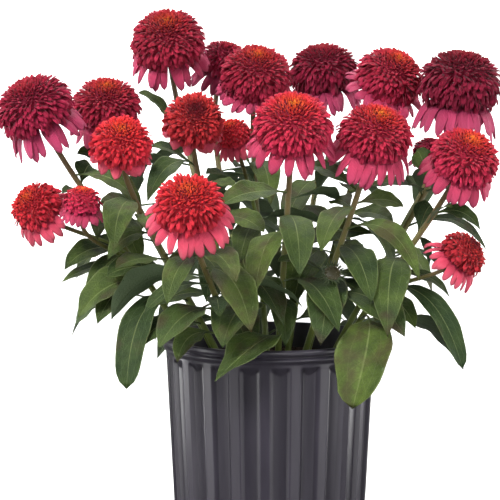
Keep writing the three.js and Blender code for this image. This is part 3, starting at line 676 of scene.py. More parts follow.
@dataclass(frozen=True)
class NurseryPot:
    """The tapered pot with its flutes, rolled rim and drained floor. Sizes in millimetres."""

    height: float = 222
    base_radius: float = 94
    shoulder_radius: float = 104.5
    shoulder: float = 209.5
    wall: float = 1.8
    floor: float = 3
    inner_top: float = 211
    flutes: int = 22
    turn: float = 4.9
    steps: int = 16
    depth: float = 3.4
    rib: float = 0.1875
    slope: float = 0.0625
    hollow: float = 0.08
    scoop_from: float = 202
    scoop_to: float = 205
    smile: float = 5
    drains: int = 4
    drain_radius: float = 8
    drain_ring: float = 60
    drain_sides: int = 24
    rows: tuple[float, ...] = (0, 1.2, 20, 60, 100, 140, 170, 188, 194, *range(196, 206), 206.5)
    rim: tuple[tuple[float, float], ...] = (
        (0, 209.5),
        (1.4, 210.2),
        (2.1, 211.1),
        (2.2, 212.2),
        (1.6, 213.3),
        (0.3, 214.2),
        (-0.4, 214.8),
        (0.2, 215.5),
        (1.9, 216.2),
        (3.1, 217),
        (3.5, 218.2),
        (3.5, 220),
        (3.1, 221.3),
        (2.1, 222),
        (-0.1, 222),
        (-0.9, 221.2),
        (-1.2, 219),
    )

    def wall_radius(self, z: float) -> float:
        """Returns the outer radius of the ribs at a height."""
        return lerp(self.base_radius, self.shoulder_radius, z / self.shoulder)

    def inner_radius(self, z: float) -> float:
        """Returns the radius of the inside at a height."""
        return self.wall_radius(z) - self.depth - self.wall

    def sunk(self, angle: float, z: float) -> float:
        """Returns how far the fluted wall stands in at an angle and a height."""
        share = angle * self.flutes / math.tau % 1
        off = min(share, 1 - share)
        floor = min(1.0, max(0.0, (off - self.rib) / self.slope))
        across = (1 - self.hollow) * floor + self.hollow * ease(self.rib, 0.5, off)
        foot = self.scoop_from - self.smile * ease(self.rib, 0.5, off)
        scoop = min(1.0, max(0.0, (z - foot) / (self.scoop_to - foot)))
        half = 0.5 - self.rib - self.slope if floor > 0.5 else self.rib
        away = min(0.5 - off, half) if floor > 0.5 else min(off, half)
        flat = math.cos(math.tau * half / self.flutes) / math.cos(math.tau * away / self.flutes)
        return (self.depth * across + self.wall_radius(z) * (1 - flat)) * (1 - scoop)

    def rib_light_flute_shade(self, angle: float, z: float) -> float:
        """Returns the painted light and shade of the fluted wall: 1 on a rib, painted lighter, 0 on the floor
        of a flute, painted darker, and 0.5 above and below them.
        """
        share = angle * self.flutes / math.tau % 1
        if not 1 < z < self.scoop_to:
            return 0.5
        return 1.0 if min(share, 1 - share) < self.rib + 0.5 * self.slope else 0.0

    def build(self) -> None:
        """Spins the wall, sinks the flutes, cuts the drain holes and dresses the pot."""
        outline = [(0.0, 0.0), (self.drain_ring, 0.0), (self.base_radius - self.depth - 3, 0.0)]
        outline += [(self.wall_radius(z), z) for z in self.rows]
        outline += [(self.shoulder_radius + out, z) for out, z in self.rim]
        outline += [(self.inner_radius(self.inner_top), self.inner_top)]
        outline += [(radius, self.floor) for radius in (self.inner_radius(self.floor), self.drain_ring, 0.0)]
        bm = bmesh.new()
        line = [bm.verts.new((r, 0, z)) for r, z in outline]
        edges = [bm.edges.new(pair) for pair in zip(line, line[1:])]
        around = self.flutes * self.steps
        bmesh.ops.spin(
            bm, geom=line + edges, axis=UP, cent=(0, 0, 0), angle=math.tau, steps=around, use_merge=True
        )
        bmesh.ops.remove_doubles(bm, verts=bm.verts, dist=0.01)
        # Painted light and shade: each point of the flutes gets 1 on a rib, to be painted lighter, and 0 on a
        # flute floor, to be painted darker.
        rib_light_flute_shade = bm.verts.layers.float.new("rib_light_flute_shade")
        for vert in bm.verts:
            r, z = vert.co.xy.length, vert.co.z
            vert[rib_light_flute_shade] = 0.5
            if r > self.wall_radius(z) - 0.1 and z < self.shoulder - 1:
                angle = math.atan2(vert.co.y, vert.co.x)
                vert[rib_light_flute_shade] = self.rib_light_flute_shade(angle, z)
                vert.co.xy *= 1 - self.sunk(angle, z) / r
        turn = Matrix.Rotation(math.radians(self.turn), 3, "Z")
        bmesh.ops.rotate(bm, cent=(0, 0, 0), matrix=turn, verts=bm.verts)
        bmesh.ops.recalc_face_normals(bm, faces=bm.faces)
        bmesh.ops.scale(bm, vec=(MM, MM, MM), verts=bm.verts)
        for face in bm.faces:
            face.smooth = True
        pot = keep_mesh(bm, "fluted_pot", [PLASTIC.material()], "pot")
        self.drill(pot)

    def drill(self, pot: bpy.types.Object) -> None:
        """Cuts the drain holes through the floor of the finished pot."""
        bm = bmesh.new()
        for number in range(self.drains):
            turn = math.tau * (number + 0.5) / self.drains
            at = Vector((math.cos(turn), math.sin(turn), 0)) * self.drain_ring
            radius, sides = self.drain_radius, self.drain_sides
            made = bmesh.ops.create_cone(
                bm, cap_ends=True, segments=sides, radius1=radius, radius2=radius, depth=4 * self.floor
            )
            bmesh.ops.translate(bm, vec=at, verts=made["verts"])
        bmesh.ops.scale(bm, vec=(MM, MM, MM), verts=bm.verts)
        mesh = bpy.data.meshes.new("drill")
        bm.to_mesh(mesh)
        bm.free()
        drill = bpy.data.objects.new("drill", mesh)
        bpy.context.scene.collection.objects.link(drill)
        cut = pot.modifiers.new("drains", "BOOLEAN")
        cut.operation = "DIFFERENCE"
        cut.solver = "EXACT"
        cut.object = drill
        graph = bpy.context.evaluated_depsgraph_get()
        whole = bpy.data.meshes.new_from_object(pot.evaluated_get(graph))
        pot.modifiers.clear()
        old = pot.data
        pot.data = whole
        bpy.data.meshes.remove(old)
        bpy.data.objects.remove(drill)
        whole.name = pot.name


@dataclass(frozen=True)
class PottingMix:
    """The mound of bark and peat that fills the pot. Sizes in millimetres."""

    pot: NurseryPot
    level: float = 196
    crown: float = 5
    rings: int = 26
    steps: int = 84
    clod: float = 1.5
    crumb: float = 0.5
    chips: int = 420
    chip: tuple[float, float, float] = (3, 1.7, 0.8)
    margin: float = 7

    def top(self, x: float, y: float) -> float:
        """Returns the height of the mound at a place."""
        out = math.hypot(x, y) / self.pot.inner_radius(self.level)
        rough = math.sin(x * 0.31 + 1.7 * math.sin(y * 0.13)) * math.sin(y * 0.27 + 1.3 * math.sin(x * 0.17))
        return self.level + self.crown * (1 - out) + self.clod * rough * (1 - out**6)

    def mound(self) -> bpy.types.Mesh:
        """Returns the fill, spun about the pot's axis, with its rough top."""
        pot, bm = self.pot, Skin().bm
        edge = pot.inner_radius(self.level) - GAP
        foot = pot.floor + GAP
        outline = [(0.0, foot), (pot.inner_radius(foot) - GAP, foot), (edge, self.level - 3)]
        outline += [(edge * ring / self.rings, self.level) for ring in range(self.rings, -1, -1)]
        line = [bm.verts.new((r, 0, z)) for r, z in outline]
        edges = [bm.edges.new(pair) for pair in zip(line, line[1:])]
        bmesh.ops.spin(
            bm, geom=line + edges, axis=UP, cent=(0, 0, 0), angle=math.tau, steps=self.steps, use_merge=True
        )
        bmesh.ops.remove_doubles(bm, verts=bm.verts, dist=0.01)
        for number, vert in enumerate(bm.verts):
            if vert.co.z > self.level - 1:
                vert.co.z = self.top(vert.co.x, vert.co.y) + self.crumb * vary(number, 3)
        bmesh.ops.recalc_face_normals(bm, faces=bm.faces)
        mesh = bpy.data.meshes.new("mound")
        bm.to_mesh(mesh)
        bm.free()
        return mesh

    def build(self) -> None:
        """Lays the fill, strews chips of bark on it and dresses it."""
        skin, bark = Skin(), BARK.material()
        skin.bm.from_mesh(self.mound())
        skin.close_run(bark)
        skin.spun = len(skin.bm.verts)
        for number in range(self.chips):
            self.strew(skin, number, bark)
        skin.piece("potting_mix", "soil", "soil")

    def strew(self, skin: Skin, number: int, bark: bpy.types.Material) -> None:
        """Adds one flat chip of bark, partly sunk in the mound.

        Args:
            skin: The mesh to add it to.
            number: Number of the chip, which draws its place and size.
            bark: Its finish.
        """
        length, width, thick = self.chip
        reach = (self.pot.inner_radius(self.level) - self.margin) * math.sqrt((number + 0.5) / self.chips)
        turn = golden(number)
        x, y = reach * math.cos(turn), reach * math.sin(turn)
        middle = Vector((x, y, self.top(x, y)))
        spin = Quaternion(UP, 3 * vary(number, 5)) @ Quaternion((1, 0, 0), 0.5 * vary(number, 6))
        size = Vector((length + 1.4 * vary(number, 7), width + 0.8 * vary(number, 8), thick))

        def section(share: float) -> Section:
            """Returns the chip's cross-section at a share of its height."""
            flat = 0.9 if 0 < share < 1 else 0.0
            height = size.z * math.cos(math.pi * share)

            def point(cosine: float, sine: float) -> Vector:
                """Returns a point of the cross-section."""
                local = Vector((size.x * flat * cosine, -size.y * flat * sine, height))
                return middle + spin @ local

            return point

        skin.ball(5, 3, section, bark, kin=vary(number, 9))


# ---------------------------------------------------------------- blooms


@dataclass(frozen=True)
class Bloom:
    """One flower head: a pompon of florets over a ring of rays. Sizes in millimetres.

    In its own frame the pompon's widest point is at height 0 and its top faces +Z. The seat is the height of
    its flat underside, and the skirt is the radius and the depth of the rays' tips, all in pompon radii.
    """

    name: str
    at: tuple[float, float, float]
    radius: float
    faces: tuple[float, float, float]
    seat: float
    skirt: tuple[float, float]
    age: Age
    shade: float = 1.0

    core = 0.84
    crest = 0.92
    above = 0.1
    hub = 0.3
    plate = 1.4
    cup = 7.0
    ray_root = 0.3
    ray_under = (0.8, 0.02)
    ray_shoulder = 0.1
    ray_fall = 0.24

    # How far a ray may twist in radians and drift aside in pompon radii, and the height of its ridges and
    # half its thickness in millimetres.
    ray_twist = 0.45
    ray_drift = 0.14
    ray_groove = 0.55
    ray_thickness = 0.35

    ray_width = Profile(
        (0, 0.5), (0.2, 0.74), (0.45, 1), (0.65, 0.98), (0.84, 0.82), (0.95, 0.58), (0.985, 0.36), (1, 0)
    )
    least_rays = 7.6
    rays_per = 7.0

    # From the eye to the lowest florets: the room of one in millimetres, its length in pompon radii, its half
    # width as a share of its room, how far it bends over in radians, and how deep its trough is.
    floret_room = (2.4, 4.7)
    floret_length = (0.17, 0.34)
    floret_half = (0.48, 0.58)
    floret_bend = (0.2, 0.9)
    floret_trough = (0.35, 0.15)
    floret_thickness = 0.3
    spoon = Profile((0, 0.6), (0.3, 0.85), (0.6, 1), (0.86, 0.72), (1, 0.15))

    @property
    def lowest(self) -> float:
        """Returns the angle from the top of the lowest florets' roots."""
        return math.acos(self.seat + self.above)

    @property
    def plate_top(self) -> float:
        """Returns the height of the plate's upper face, under the pompon."""
        return self.seat * self.radius - GAP

    @property
    def plate_bottom(self) -> float:
        """Returns the height of the plate's lower face."""
        return self.plate_top - self.plate

    @property
    def neck(self) -> float:
        """Returns the height where the stem widens into its cup."""
        return self.plate_bottom - GAP - self.cup

    def turn(self) -> Quaternion:
        """Returns the turn from the bloom's own frame to the plant's."""
        return UP.rotation_difference(Vector(self.faces))

    def place(self, point: Vector) -> Vector:
        """Moves a point from the bloom's own frame to the plant's."""
        return self.turn() @ point + Vector(self.at)

    def build(self) -> None:
        """Builds the pompon and the ring of rays."""
        self.build_florets()
        self.build_rays()

    # -------- pompon

    def spacing(self, polar: float) -> float:
        """Returns the room of a floret at an angle from the top, in millimetres."""
        fine = 0.66 + 0.34 * self.radius / 38
        return fine * lerp(*self.floret_room, ease(0.2, 1.4, polar))

    def spiral(self) -> Iterator[tuple[float, float]]:
        """Yields each floret's angle from the top and about it, along one spiral."""
        polar, number = 0.03, 0
        while polar < self.lowest:
            yield polar, golden(number)
            wide = self.spacing(polar) / (self.radius * 0.95)
            polar += wide * wide / (math.tau * max(math.sin(polar), 0.09))
            number += 1

    def build_florets(self) -> None:
        """Builds the pompon: a core, painted dark as shade over its upper half, under tufts of narrow
        florets.
        """
        skin, turn, at = Skin(), self.turn(), Vector(self.at)
        finish = replace(FLORETS[self.age], shade=self.shade).material()
        skin.ball(24, 14, self.core_section(turn, at), finish, polar=0.6)
        for number, (polar, about) in enumerate(self.spiral()):
            section = self.floret_section(number, polar, about, turn, at)
            skin.ball(6, 5, section, finish, polar / 1.8, vary(number, self.radius + 5))
        skin.piece(f"florets_{self.name}", "floret", f"bloom_{self.name}_florets")

    def domed(self, point: Vector) -> Vector:
        """Flattens the crown of the dome a little."""
        return Vector((point.x, point.y, point.z * self.crest)) if point.z > 0 else point

    def core_section(self, turn: Quaternion, at: Vector) -> Callable[[float], Section]:
        """Returns the form of the solid middle, cut flat at the seat."""

        def section(share: float) -> Section:
            """Returns the core's cross-section at a share of its way down."""
            angle = math.pi * share
            reach = self.core * self.radius
            height = max(reach * math.cos(angle), self.seat * self.radius)

            def point(cosine: float, sine: float) -> Vector:
                """Returns a point of the cross-section."""
                flat = reach * math.sin(angle)
                return turn @ self.domed(Vector((flat * cosine, -flat * sine, height))) + at

            return point

        return section

    def floret_section(
        self, number: int, polar: float, about: float, turn: Quaternion, at: Vector
    ) -> Callable[[float], Section]:
        """Returns the form of one floret: a narrow trough that leaves the core and bends down over the next.

        Args:
            number: Its number along the spiral, which draws how it strays.
            polar: Angle of its root from the top.
            about: Angle of its root about the top.
            turn: The bloom's turn.
            at: The bloom's place.
        """
        loose = self.age.looseness()
        eye = 1 - ease(0.16, 0.42, polar)
        series = self.radius + 20
        side = Vector((-math.sin(about), math.cos(about), 0))
        out = Vector((math.sin(polar) * math.cos(about), math.sin(polar) * math.sin(about), math.cos(polar)))
        down = side.cross(out)
        root = out * self.radius * (self.core - 0.03)
        # Each floret strays by draws of its own, and the florets of a tuft lean together.
        tuft = math.sin(5 * about + 9 * polar + series) * math.sin(4 * polar - 3 * about)
        swing = (0.3 * vary(number, series) + 0.2 * tuft) * loose
        out, side = Quaternion(down, swing) @ out, Quaternion(down, swing) @ side
        lean = (0.22 * vary(number, series + 1) + 0.16 * tuft) * loose + 0.75 * ease(0.5, 1.5, polar)
        out, down = Quaternion(side, lean) @ out, Quaternion(side, lean) @ down
        low = ease(0.45, 1.4, polar)
        bend = lerp(*self.floret_bend, low) + 0.45 * loose * vary(number, series + 2)
        length = self.radius * lerp(*self.floret_length, low) * (1 - 0.3 * eye)
        length *= 1 + 0.2 * loose * vary(number, series + 3)
        half = self.spacing(polar) * lerp(*self.floret_half, low) * (1 + 0.25 * vary(number, series + 4))
        roll = 0.8 * loose * vary(number, series + 5)
        trough = lerp(*self.floret_trough, low) + 0.5 * vary(number, series + 6)

        def section(share: float) -> Section:
            """Returns the floret's cross-section at a share of its rows."""
            place = share + 0.13 * math.sin(math.pi * share)
            lean = bend * place**1.4
            along = (out * math.cos(lean) + down * math.sin(lean)).normalized()
            middle = root + length * place * (out * math.cos(lean / 2.4) + down * math.sin(lean / 2.4))
            across = Quaternion(along, roll) @ side
            up = along.cross(across)
            wide = half * self.spoon.at(place)

            def point(cosine: float, sine: float) -> Vector:
                """Returns a point of the cross-section."""
                lift = trough * wide * cosine * cosine + self.floret_thickness * sine
                return turn @ self.domed(middle + across * (wide * cosine) + up * lift) + at

            return point

        return section

    # -------- rays

    def build_rays(self) -> None:
        """Builds the ring of rays, in two layers on a small plate."""
        skin, finish = Skin(), RAYS[self.age].material()
        skin.ball(20, 6, self.plate_section(), BRACT.material())
        count = round(self.least_rays + self.radius / self.rays_per)
        for number in range(count):
            for layer in (0, 1):
                section = self.ray_section(number, layer, count)
                skin.ball(12, 13, section, finish, kin=vary(number, self.radius + layer))
        skin.piece(f"rays_{self.name}", "ray", f"bloom_{self.name}_rays")

    def plate_section(self) -> Callable[[float], Section]:
        """Returns the form of the plate that the rays grow from."""
        turn, at = self.turn(), Vector(self.at)
        middle = (self.plate_top + self.plate_bottom) / 2

        def section(share: float) -> Section:
            """Returns the plate's cross-section at a share of its way down."""
            flat = self.hub * self.radius * math.sin(math.pi * share) ** 0.5
            height = middle + self.plate / 2 * math.cos(math.pi * share)

            def point(cosine: float, sine: float) -> Vector:
                """Returns a point of the cross-section."""
                return turn @ Vector((flat * cosine, -flat * sine, height)) + at

            return point

        return section

    def ray_curve(self, start: float, reach: float, hang: float) -> Curve:
        """Returns the line of a ray in the plane of its own direction, out under the pompon and then down.

        Args:
            start: Height at which it leaves the plate.
            reach: Share of the skirt's radius that it reaches.
            hang: Share of the skirt's depth that it hangs.
        """
        far, depth = self.skirt
        far *= reach
        drop = (depth * self.radius + start) * hang
        under, rise = self.ray_under
        knots = (
            (self.ray_root, 0),
            (under, rise * self.radius),
            (far - self.ray_shoulder, -drop * self.ray_fall),
            (far, -drop),
        )
        return Curve(*(Vector((r * self.radius, 0, start + z)) for r, z in knots))

    def ray_section(self, number: int, layer: int, count: int) -> Callable[[float], Section]:
        """Returns the form of one ray: a drooping strap with two grooves and a narrow tip.

        Args:
            number: Its number round the bloom.
            layer: 0 for the rays on top, 1 for those between and under them.
            count: Rays in a layer.
        """
        turn, at, radius = self.turn(), Vector(self.at), self.radius
        step = math.tau / count
        series = radius + 40 * layer
        angle = (number + 0.5 * layer) * step + 0.1 * vary(number, series)
        hang = (1 + 0.12 * vary(number, series + 1)) * (1 - 0.1 * layer)
        reach = 1 + (0.07 * vary(number, series + 2) if layer else 0.0)
        curve = self.ray_curve(self.plate_bottom + 0.7 - 0.9 * layer, reach, hang)
        out = Vector((math.cos(angle), math.sin(angle), 0))
        side = Vector((-out.y, out.x, 0))
        slim = 0.66 - 0.04 * layer
        half_most = radius * math.tan(step / 2) * slim * (1 + 0.14 * vary(number, series + 3))
        twist = self.ray_twist * vary(number, series + 4)
        drift = self.ray_drift * radius * vary(number, series + 5)

        def section(share: float) -> Section:
            """Returns the ray's cross-section at a share of its rows."""
            place = lerp(share, (1 - math.cos(math.pi * share)) / 2, 0.5)
            at_curve, slope = curve.at(place), curve.heading(place)
            middle = out * at_curve.x + UP * at_curve.z + side * (drift * place * place)
            along = out * slope.x + UP * slope.z
            across = Quaternion(along, twist * place) @ side
            up = along.cross(across)
            wide = half_most * self.ray_width.at(place)
            notch = 1.4 * ease(0.8, 1.0, place)

            def point(cosine: float, sine: float) -> Vector:
                """Returns a point of the cross-section."""
                ridge = math.cos(cosine * math.pi * 2.6)
                groove = self.ray_groove * ridge * (1 - cosine * cosine) * ease(0.05, 0.4, place)
                lift = groove - 0.2 * wide * cosine * cosine + self.ray_thickness * sine
                local = middle + across * (wide * cosine) + up * lift + along * (notch * ridge * 0.5)
                return turn @ local + at

            return point

        return section


BLOOMS = {
    bloom.name: bloom
    for bloom in (
        Bloom("01", (-231, -10, 447), 38, (-0.42, -0.5, 1), -0.18, (1.02, 0.92), Age.DEEP),
        Bloom("02", (-170, 80, 449), 35, (0.05, -0.6, 1), -0.18, (1.08, 0.8), Age.RIPE, 0.85),
        Bloom("03", (-143, -60, 414), 29, (0.1, -1, 1), -0.12, (1, 0.56), Age.FRESH),
        Bloom("04", (-106, 100, 517), 38, (-0.05, -0.85, 1), -0.15, (1.1, 0.8), Age.RIPE, 0.77),
        Bloom("05", (-75, -20, 436), 29, (0.2, -1.4, 1), -0.12, (1, 0.56), Age.DARK_EYED, 0.84),
        Bloom("06", (-48, 170, 498), 28, (0.3, -0.2, 1), -0.35, (1.08, 1.2), Age.DEEP),
        Bloom("07", (-14, 70, 481), 36, (0.1, -0.65, 1), -0.25, (1.1, 0.62), Age.RIPE, 0.85),
        Bloom("08", (-37, 30, 422), 18, (-0.3, -0.6, 1), -0.2, (1.25, 1), Age.FRESH),
        Bloom("09", (20, -80, 430), 37, (0.03, -0.75, 1), -0.12, (1.14, 0.72), Age.FULL, 0.88),
        Bloom("10", (59, 130, 487), 36, (-0.05, -0.25, 1), -0.32, (1.1, 1), Age.DEEP, 0.79),
        Bloom("11", (125, 75, 480), 34, (0.4, -0.65, 1), -0.24, (1.24, 0.6), Age.RIPE, 0.97),
        Bloom("12", (99, -60, 421), 35, (0.2, -0.65, 1), -0.12, (1.14, 0.92), Age.FULL, 0.76),
        Bloom("13", (192, 30, 473), 40, (0.1, -0.2, 1), -0.42, (1.06, 1.25), Age.DEEP, 0.63),
        Bloom("14", (186, -50, 399), 33, (0.35, -0.7, 1), -0.15, (1.1, 0.82), Age.FULL, 0.84),
        Bloom("15", (-228, -30, 352), 25, (-0.7, -0.9, 0.9), -0.12, (1.26, 0.84), Age.FRESH, 0.86),
        Bloom("16", (-181, -62, 359), 18, (0.1, -0.25, 1), -0.3, (1.15, 1), Age.FULL),
        Bloom("17", (-75, -150, 360), 31, (-0.02, -0.95, 1), -0.12, (1.3, 0.78), Age.FRESH, 0.92),
        Bloom("18", (186, -45, 307), 23, (0.8, -0.4, 0.8), -0.2, (1.3, 0.95), Age.DARK_EYED, 0.8),
        Bloom("19", (170, 95, 403), 18, (0.1, 0.1, 1), -0.3, (1.15, 0.9), Age.DEEP),
    )
}


# ---------------------------------------------------------------- leaves


@dataclass(frozen=True)
class Leaf:
    """One leaf, from its place on the stem to its tip. Sizes in millimetres."""

    number: int
    stem: str
    start: Vector
    tip: Vector
    width: float
    arch: float
    stalk: float
    tilt: float
    bow: float
    blunt: bool = False

    crest = 0.6
    petiole = 1.3
    fold = 0.2
    wave = 0.12
    broad = 28.0

    # Half thickness of the stalk and of the blade, height of the ripples and blisters as shares of the half
    # width, radians of ripple along each edge, and how far the midrib stands out under the blade.
    thickness = (1.0, 0.3)
    ripple = 0.07
    ripples = (26, 22)
    blister = 0.028
    rib = 0.7

    def midrib(self) -> Curve:
        """Returns the line from the stem over the leaf's arch to its tip."""
        crest = self.start.lerp(self.tip, self.crest + (1 - self.crest) * self.stalk)
        reach = self.tip - self.start
        heading = Vector((reach.x, reach.y, 0)).normalized()
        crest.x -= heading.y * self.bow
        crest.y += heading.x * self.bow
        crest.z = max(self.start.z, self.tip.z) + self.arch
        return Curve(self.start, crest, self.tip)

    def bent(self, turn: float, lift: float) -> "Leaf":
        """Returns the leaf turned about its stem by degrees, with its tip lifted."""
        reach = Quaternion(UP, math.radians(turn)) @ (self.tip - self.start)
        return replace(self, tip=self.start + reach + UP * lift)

    def outline(self) -> tuple[tuple[float, float], ...]:
        """Returns the blade's half width as shares of its widest, at shares of its length."""
        if self.blunt:
            return ((0, 0), (0.24, 0.7), (0.58, 1), (0.89, 0.76))
        if self.width >= self.broad and self.number < len(FRONT_LEAVES):
            return ((0, 0), (0.22, 0.76), (0.5, 1), (0.82, 0.6))
        return ((0.06, 0.2), (0.42, 1), (0.76, 0.64))

    def edge_wave(self, side: int, shares: list[float]) -> Profile:
        """Returns how one edge rises and dips, from a free draw at each share of the length."""
        knots = [(share, self.wave * vary(self.number, 3 * share + side)) for share in shares]
        return Profile((0, 0), *knots, (1, 0))

    def grow(self, skin: Skin, finish: bpy.types.Material) -> None:
        """Adds the leaf to its stem's mesh."""
        line = self.midrib()
        stations = [(self.stalk + (1 - self.stalk) * place, wide) for place, wide in self.outline()]
        halves = [(share, max(wide * self.width / 2, self.petiole)) for share, wide in stations]
        if self.blunt:
            halves += [(0.965, 0.25 * self.width), (0.99, 0.15 * self.width)]
        width = Profile((0, self.petiole), (max(self.stalk * 0.97, 0.01), self.petiole), *halves, (1, 0))
        waves = {side: self.edge_wave(side, [share for share, _ in stations]) for side in (-1, 1)}
        phase = 3 * vary(self.number, 31)

        def section(row: float) -> Section:
            """Returns the leaf's cross-section at a share of its rows."""
            share = lerp(row, (1 - math.cos(math.pi * row)) / 2, 0.3)
            along = line.heading(share)
            heading = Vector((along.x, along.y, 0)).normalized()
            level = Vector((-heading.y, heading.x, 0))
            across = Quaternion(along, math.radians(self.tilt) * heading.x) @ level
            up = along.cross(across)
            middle = line.at(share)
            half = width.at(share)
            blade = ease(self.stalk * 0.9, self.stalk + 0.12, share)
            thick = lerp(*self.thickness, blade) * (1 - 0.6 * share)
            edges = {side: waves[side].at(share) for side in (-1, 1)}
            left, right = self.ripples
            ripple = self.ripple * blade * math.sin(share * left + phase)
            counter = self.ripple * blade * math.sin(share * right - 2 * phase)

            def point(cosine: float, sine: float) -> Vector:
                """Returns a point of the cross-section."""
                out = abs(cosine)
                lift = half * out**1.15 * (self.fold + edges[1 if cosine > 0 else -1])
                lift += half * out**3 * (ripple if cosine > 0 else counter)
                lift += blade * self.blister * half * math.sin(out * math.pi / 0.588) ** 2
                rib = self.rib * (1 - share) * blade if sine < 0 and out < 0.2 else 0.0
                return middle + across * (half * cosine) + up * (lift + thick * sine - rib)

            return point

        skin.ball(20, 24, section, finish, kin=vary(self.number, 35))


# Stem, height it leaves at, tip, width, rise of the arch, share that is bare stalk, degrees that the face
# turns to the front, sideways bow of the midrib, and whether it is blunt.
FRONT_LEAVES = (
    ("14", 240, (75, -128, 171), 54, 34, 0.36, 0, 26, True),
    ("09", 222, (-53, -132, 197), 46, 30, 0.26, 10, 42),
    ("12", 284, (46, -112, 228), 40, 10, 0.12, 0, 6),
    ("17", 300, (-19, -152, 246), 37, 8, 0.1, 30, 6),
    ("03", 258, (-137, -96, 184), 31, 34, 0.25, 30, -18, True),
    ("14", 270, (186, -62, 198), 25, 24, 0.2, 40, -6, True),
    ("12", 314, (94, -108, 268), 32, 8, 0.1, 30, 0),
    ("09", 345, (26, -122, 294), 34, 8, 0.1, 0, 4),
    ("12", 330, (142, -82, 285), 26, 26, 0.12, 40, 0),
    ("17", 312, (-94, -176, 274), 27, 6, 0.12, 20, -4),
    ("03", 290, (-158, -60, 288), 31, 12, 0.12, 45, 0),
    ("03", 300, (-146, -108, 300), 27, 12, 0.12, 40, 4),
    ("01", 272, (-167, -66, 242), 29, 16, 0.15, 35, 0),
    ("17", 226, (-88, -114, 212), 26, 28, 0.3, 30, -12),
    ("12", 352, (46, -112, 316), 28, 8, 0.1, 10, 0),
    ("13", 328, (220, 20, 305), 17, 28, 0.12, 35, 0),
    ("01", 300, (-183, -42, 236), 24, 14, 0.12, 35, 6),
    ("01", 288, (-198, 22, 233), 19, 14, 0.12, 35, 0),
    ("17", 284, (-117, -140, 262), 23, 8, 0.12, 25, 0),
    ("03", 236, (-127, -84, 220), 28, 20, 0.2, 30, 0),
    ("03", 326, (-157, -62, 304), 23, 8, 0.1, 40, 0),
    ("14", 262, (140, -62, 237), 24, 8, 0.15, 35, 0),
    ("13", 265, (112, 2, 224), 24, 10, 0.2, 30, 0),
    ("09", 318, (-19, -110, 288), 27, 8, 0.1, 30, 0),
    ("12", 286, (6, -74, 277), 21, 6, 0.1, 30, 0),
    ("17", 272, (-48, -150, 260), 20, 4, 0.1, 10, 0),
    ("09", 264, (14, -78, 222), 27, 8, 0.2, 10, 0),
    ("01", 306, (-201, -42, 292), 27, 16, 0.12, 40, 0),
    ("09", 368, (-47, -92, 358), 28, 8, 0.1, 40, 0),
    ("01", 356, (-204, -30, 366), 18, 10, 0.1, 35, 0),
    ("01", 292, (-206, -24, 278), 16, 6, 0.1, 35, 0),
    ("01", 340, (-168, -46, 322), 19, 6, 0.1, 40, 0),
    ("03", 345, (-114, -92, 333), 24, 6, 0.1, 35, 0),
    ("04", 408, (-137, 84, 477), 26, 0, 0.1, 50, 0),
    ("05", 390, (-118, -12, 411), 19, 4, 0.1, 40, 0),
    ("05", 372, (-34, -54, 374), 20, 6, 0.1, 40, 0),
    ("14", 335, (174, -62, 354), 18, 6, 0.1, 40, 0),
    ("13", 372, (150, 44, 406), 26, 0, 0.1, 55, 0),
    ("10", 350, (72, 24, 394), 26, 6, 0.1, 40, 0),
    ("14", 285, (178, -22, 262), 16, 10, 0.12, 35, 0),
    ("14", 320, (161, 12, 291), 16, 10, 0.12, 35, 0),
    ("05", 300, (-62, -60, 262), 27, 8, 0.12, 20, 0),
    ("07", 330, (-30, -64, 300), 29, 8, 0.1, 20, 0),
    ("12", 368, (34, -20, 392), 23, 6, 0.1, 40, 0),
    ("10", 372, (14, -24, 352), 29, 4, 0.1, 45, 0),
    ("12", 356, (132, -20, 352), 25, 10, 0.1, 45, 0),
    ("14", 345, (206, -30, 330), 19, 14, 0.1, 45, 0),
    ("11", 360, (140, 10, 372), 23, 8, 0.1, 45, 0),
    ("07", 352, (-64, -6, 372), 27, 8, 0.1, 45, 0),
    ("05", 350, (-104, -60, 352), 27, 8, 0.1, 45, 0),
    ("07", 300, (30, -44, 330), 27, 12, 0.1, 30, 0),
    ("11", 310, (84, -46, 300), 29, 12, 0.1, 30, 0),
    ("05", 340, (-6, -56, 330), 29, 10, 0.1, 40, 0),
    ("03", 352, (-166, -40, 356), 20, 10, 0.1, 40, 0),
    ("02", 330, (-150, 10, 300), 27, 12, 0.1, 45, 0),
    ("11", 280, (116, -50, 262), 28, 14, 0.12, 30, 0),
    ("13", 300, (166, 30, 262), 27, 14, 0.12, 40, 0),
    ("05", 262, (-110, -84, 262), 29, 16, 0.15, 30, 0),
    ("02", 350, (-129, 60, 400), 27, 6, 0.1, 45, 0),
    ("04", 392, (-127, 70, 352), 27, 10, 0.1, 40, 0),
    ("01", 372, (-180, 20, 391), 26, 6, 0.1, 45, 0),
    ("02", 380, (-200, 70, 402), 24, 6, 0.1, 45, 0),
    ("07", 372, (-35, 40, 389), 27, 8, 0.1, 40, 0),
    ("10", 404, (72, 100, 405), 26, 6, 0.1, 45, 0),
    ("12", 350, (62, 0, 380), 26, 8, 0.1, 40, 0),
    ("11", 366, (85, 50, 363), 27, 8, 0.1, 40, 0),
    ("11", 338, (126, 30, 334), 27, 10, 0.1, 40, 0),
    ("13", 360, (140, 20, 371), 27, 8, 0.1, 45, 0),
    ("14", 322, (161, -10, 351), 26, 8, 0.1, 45, 0),
)


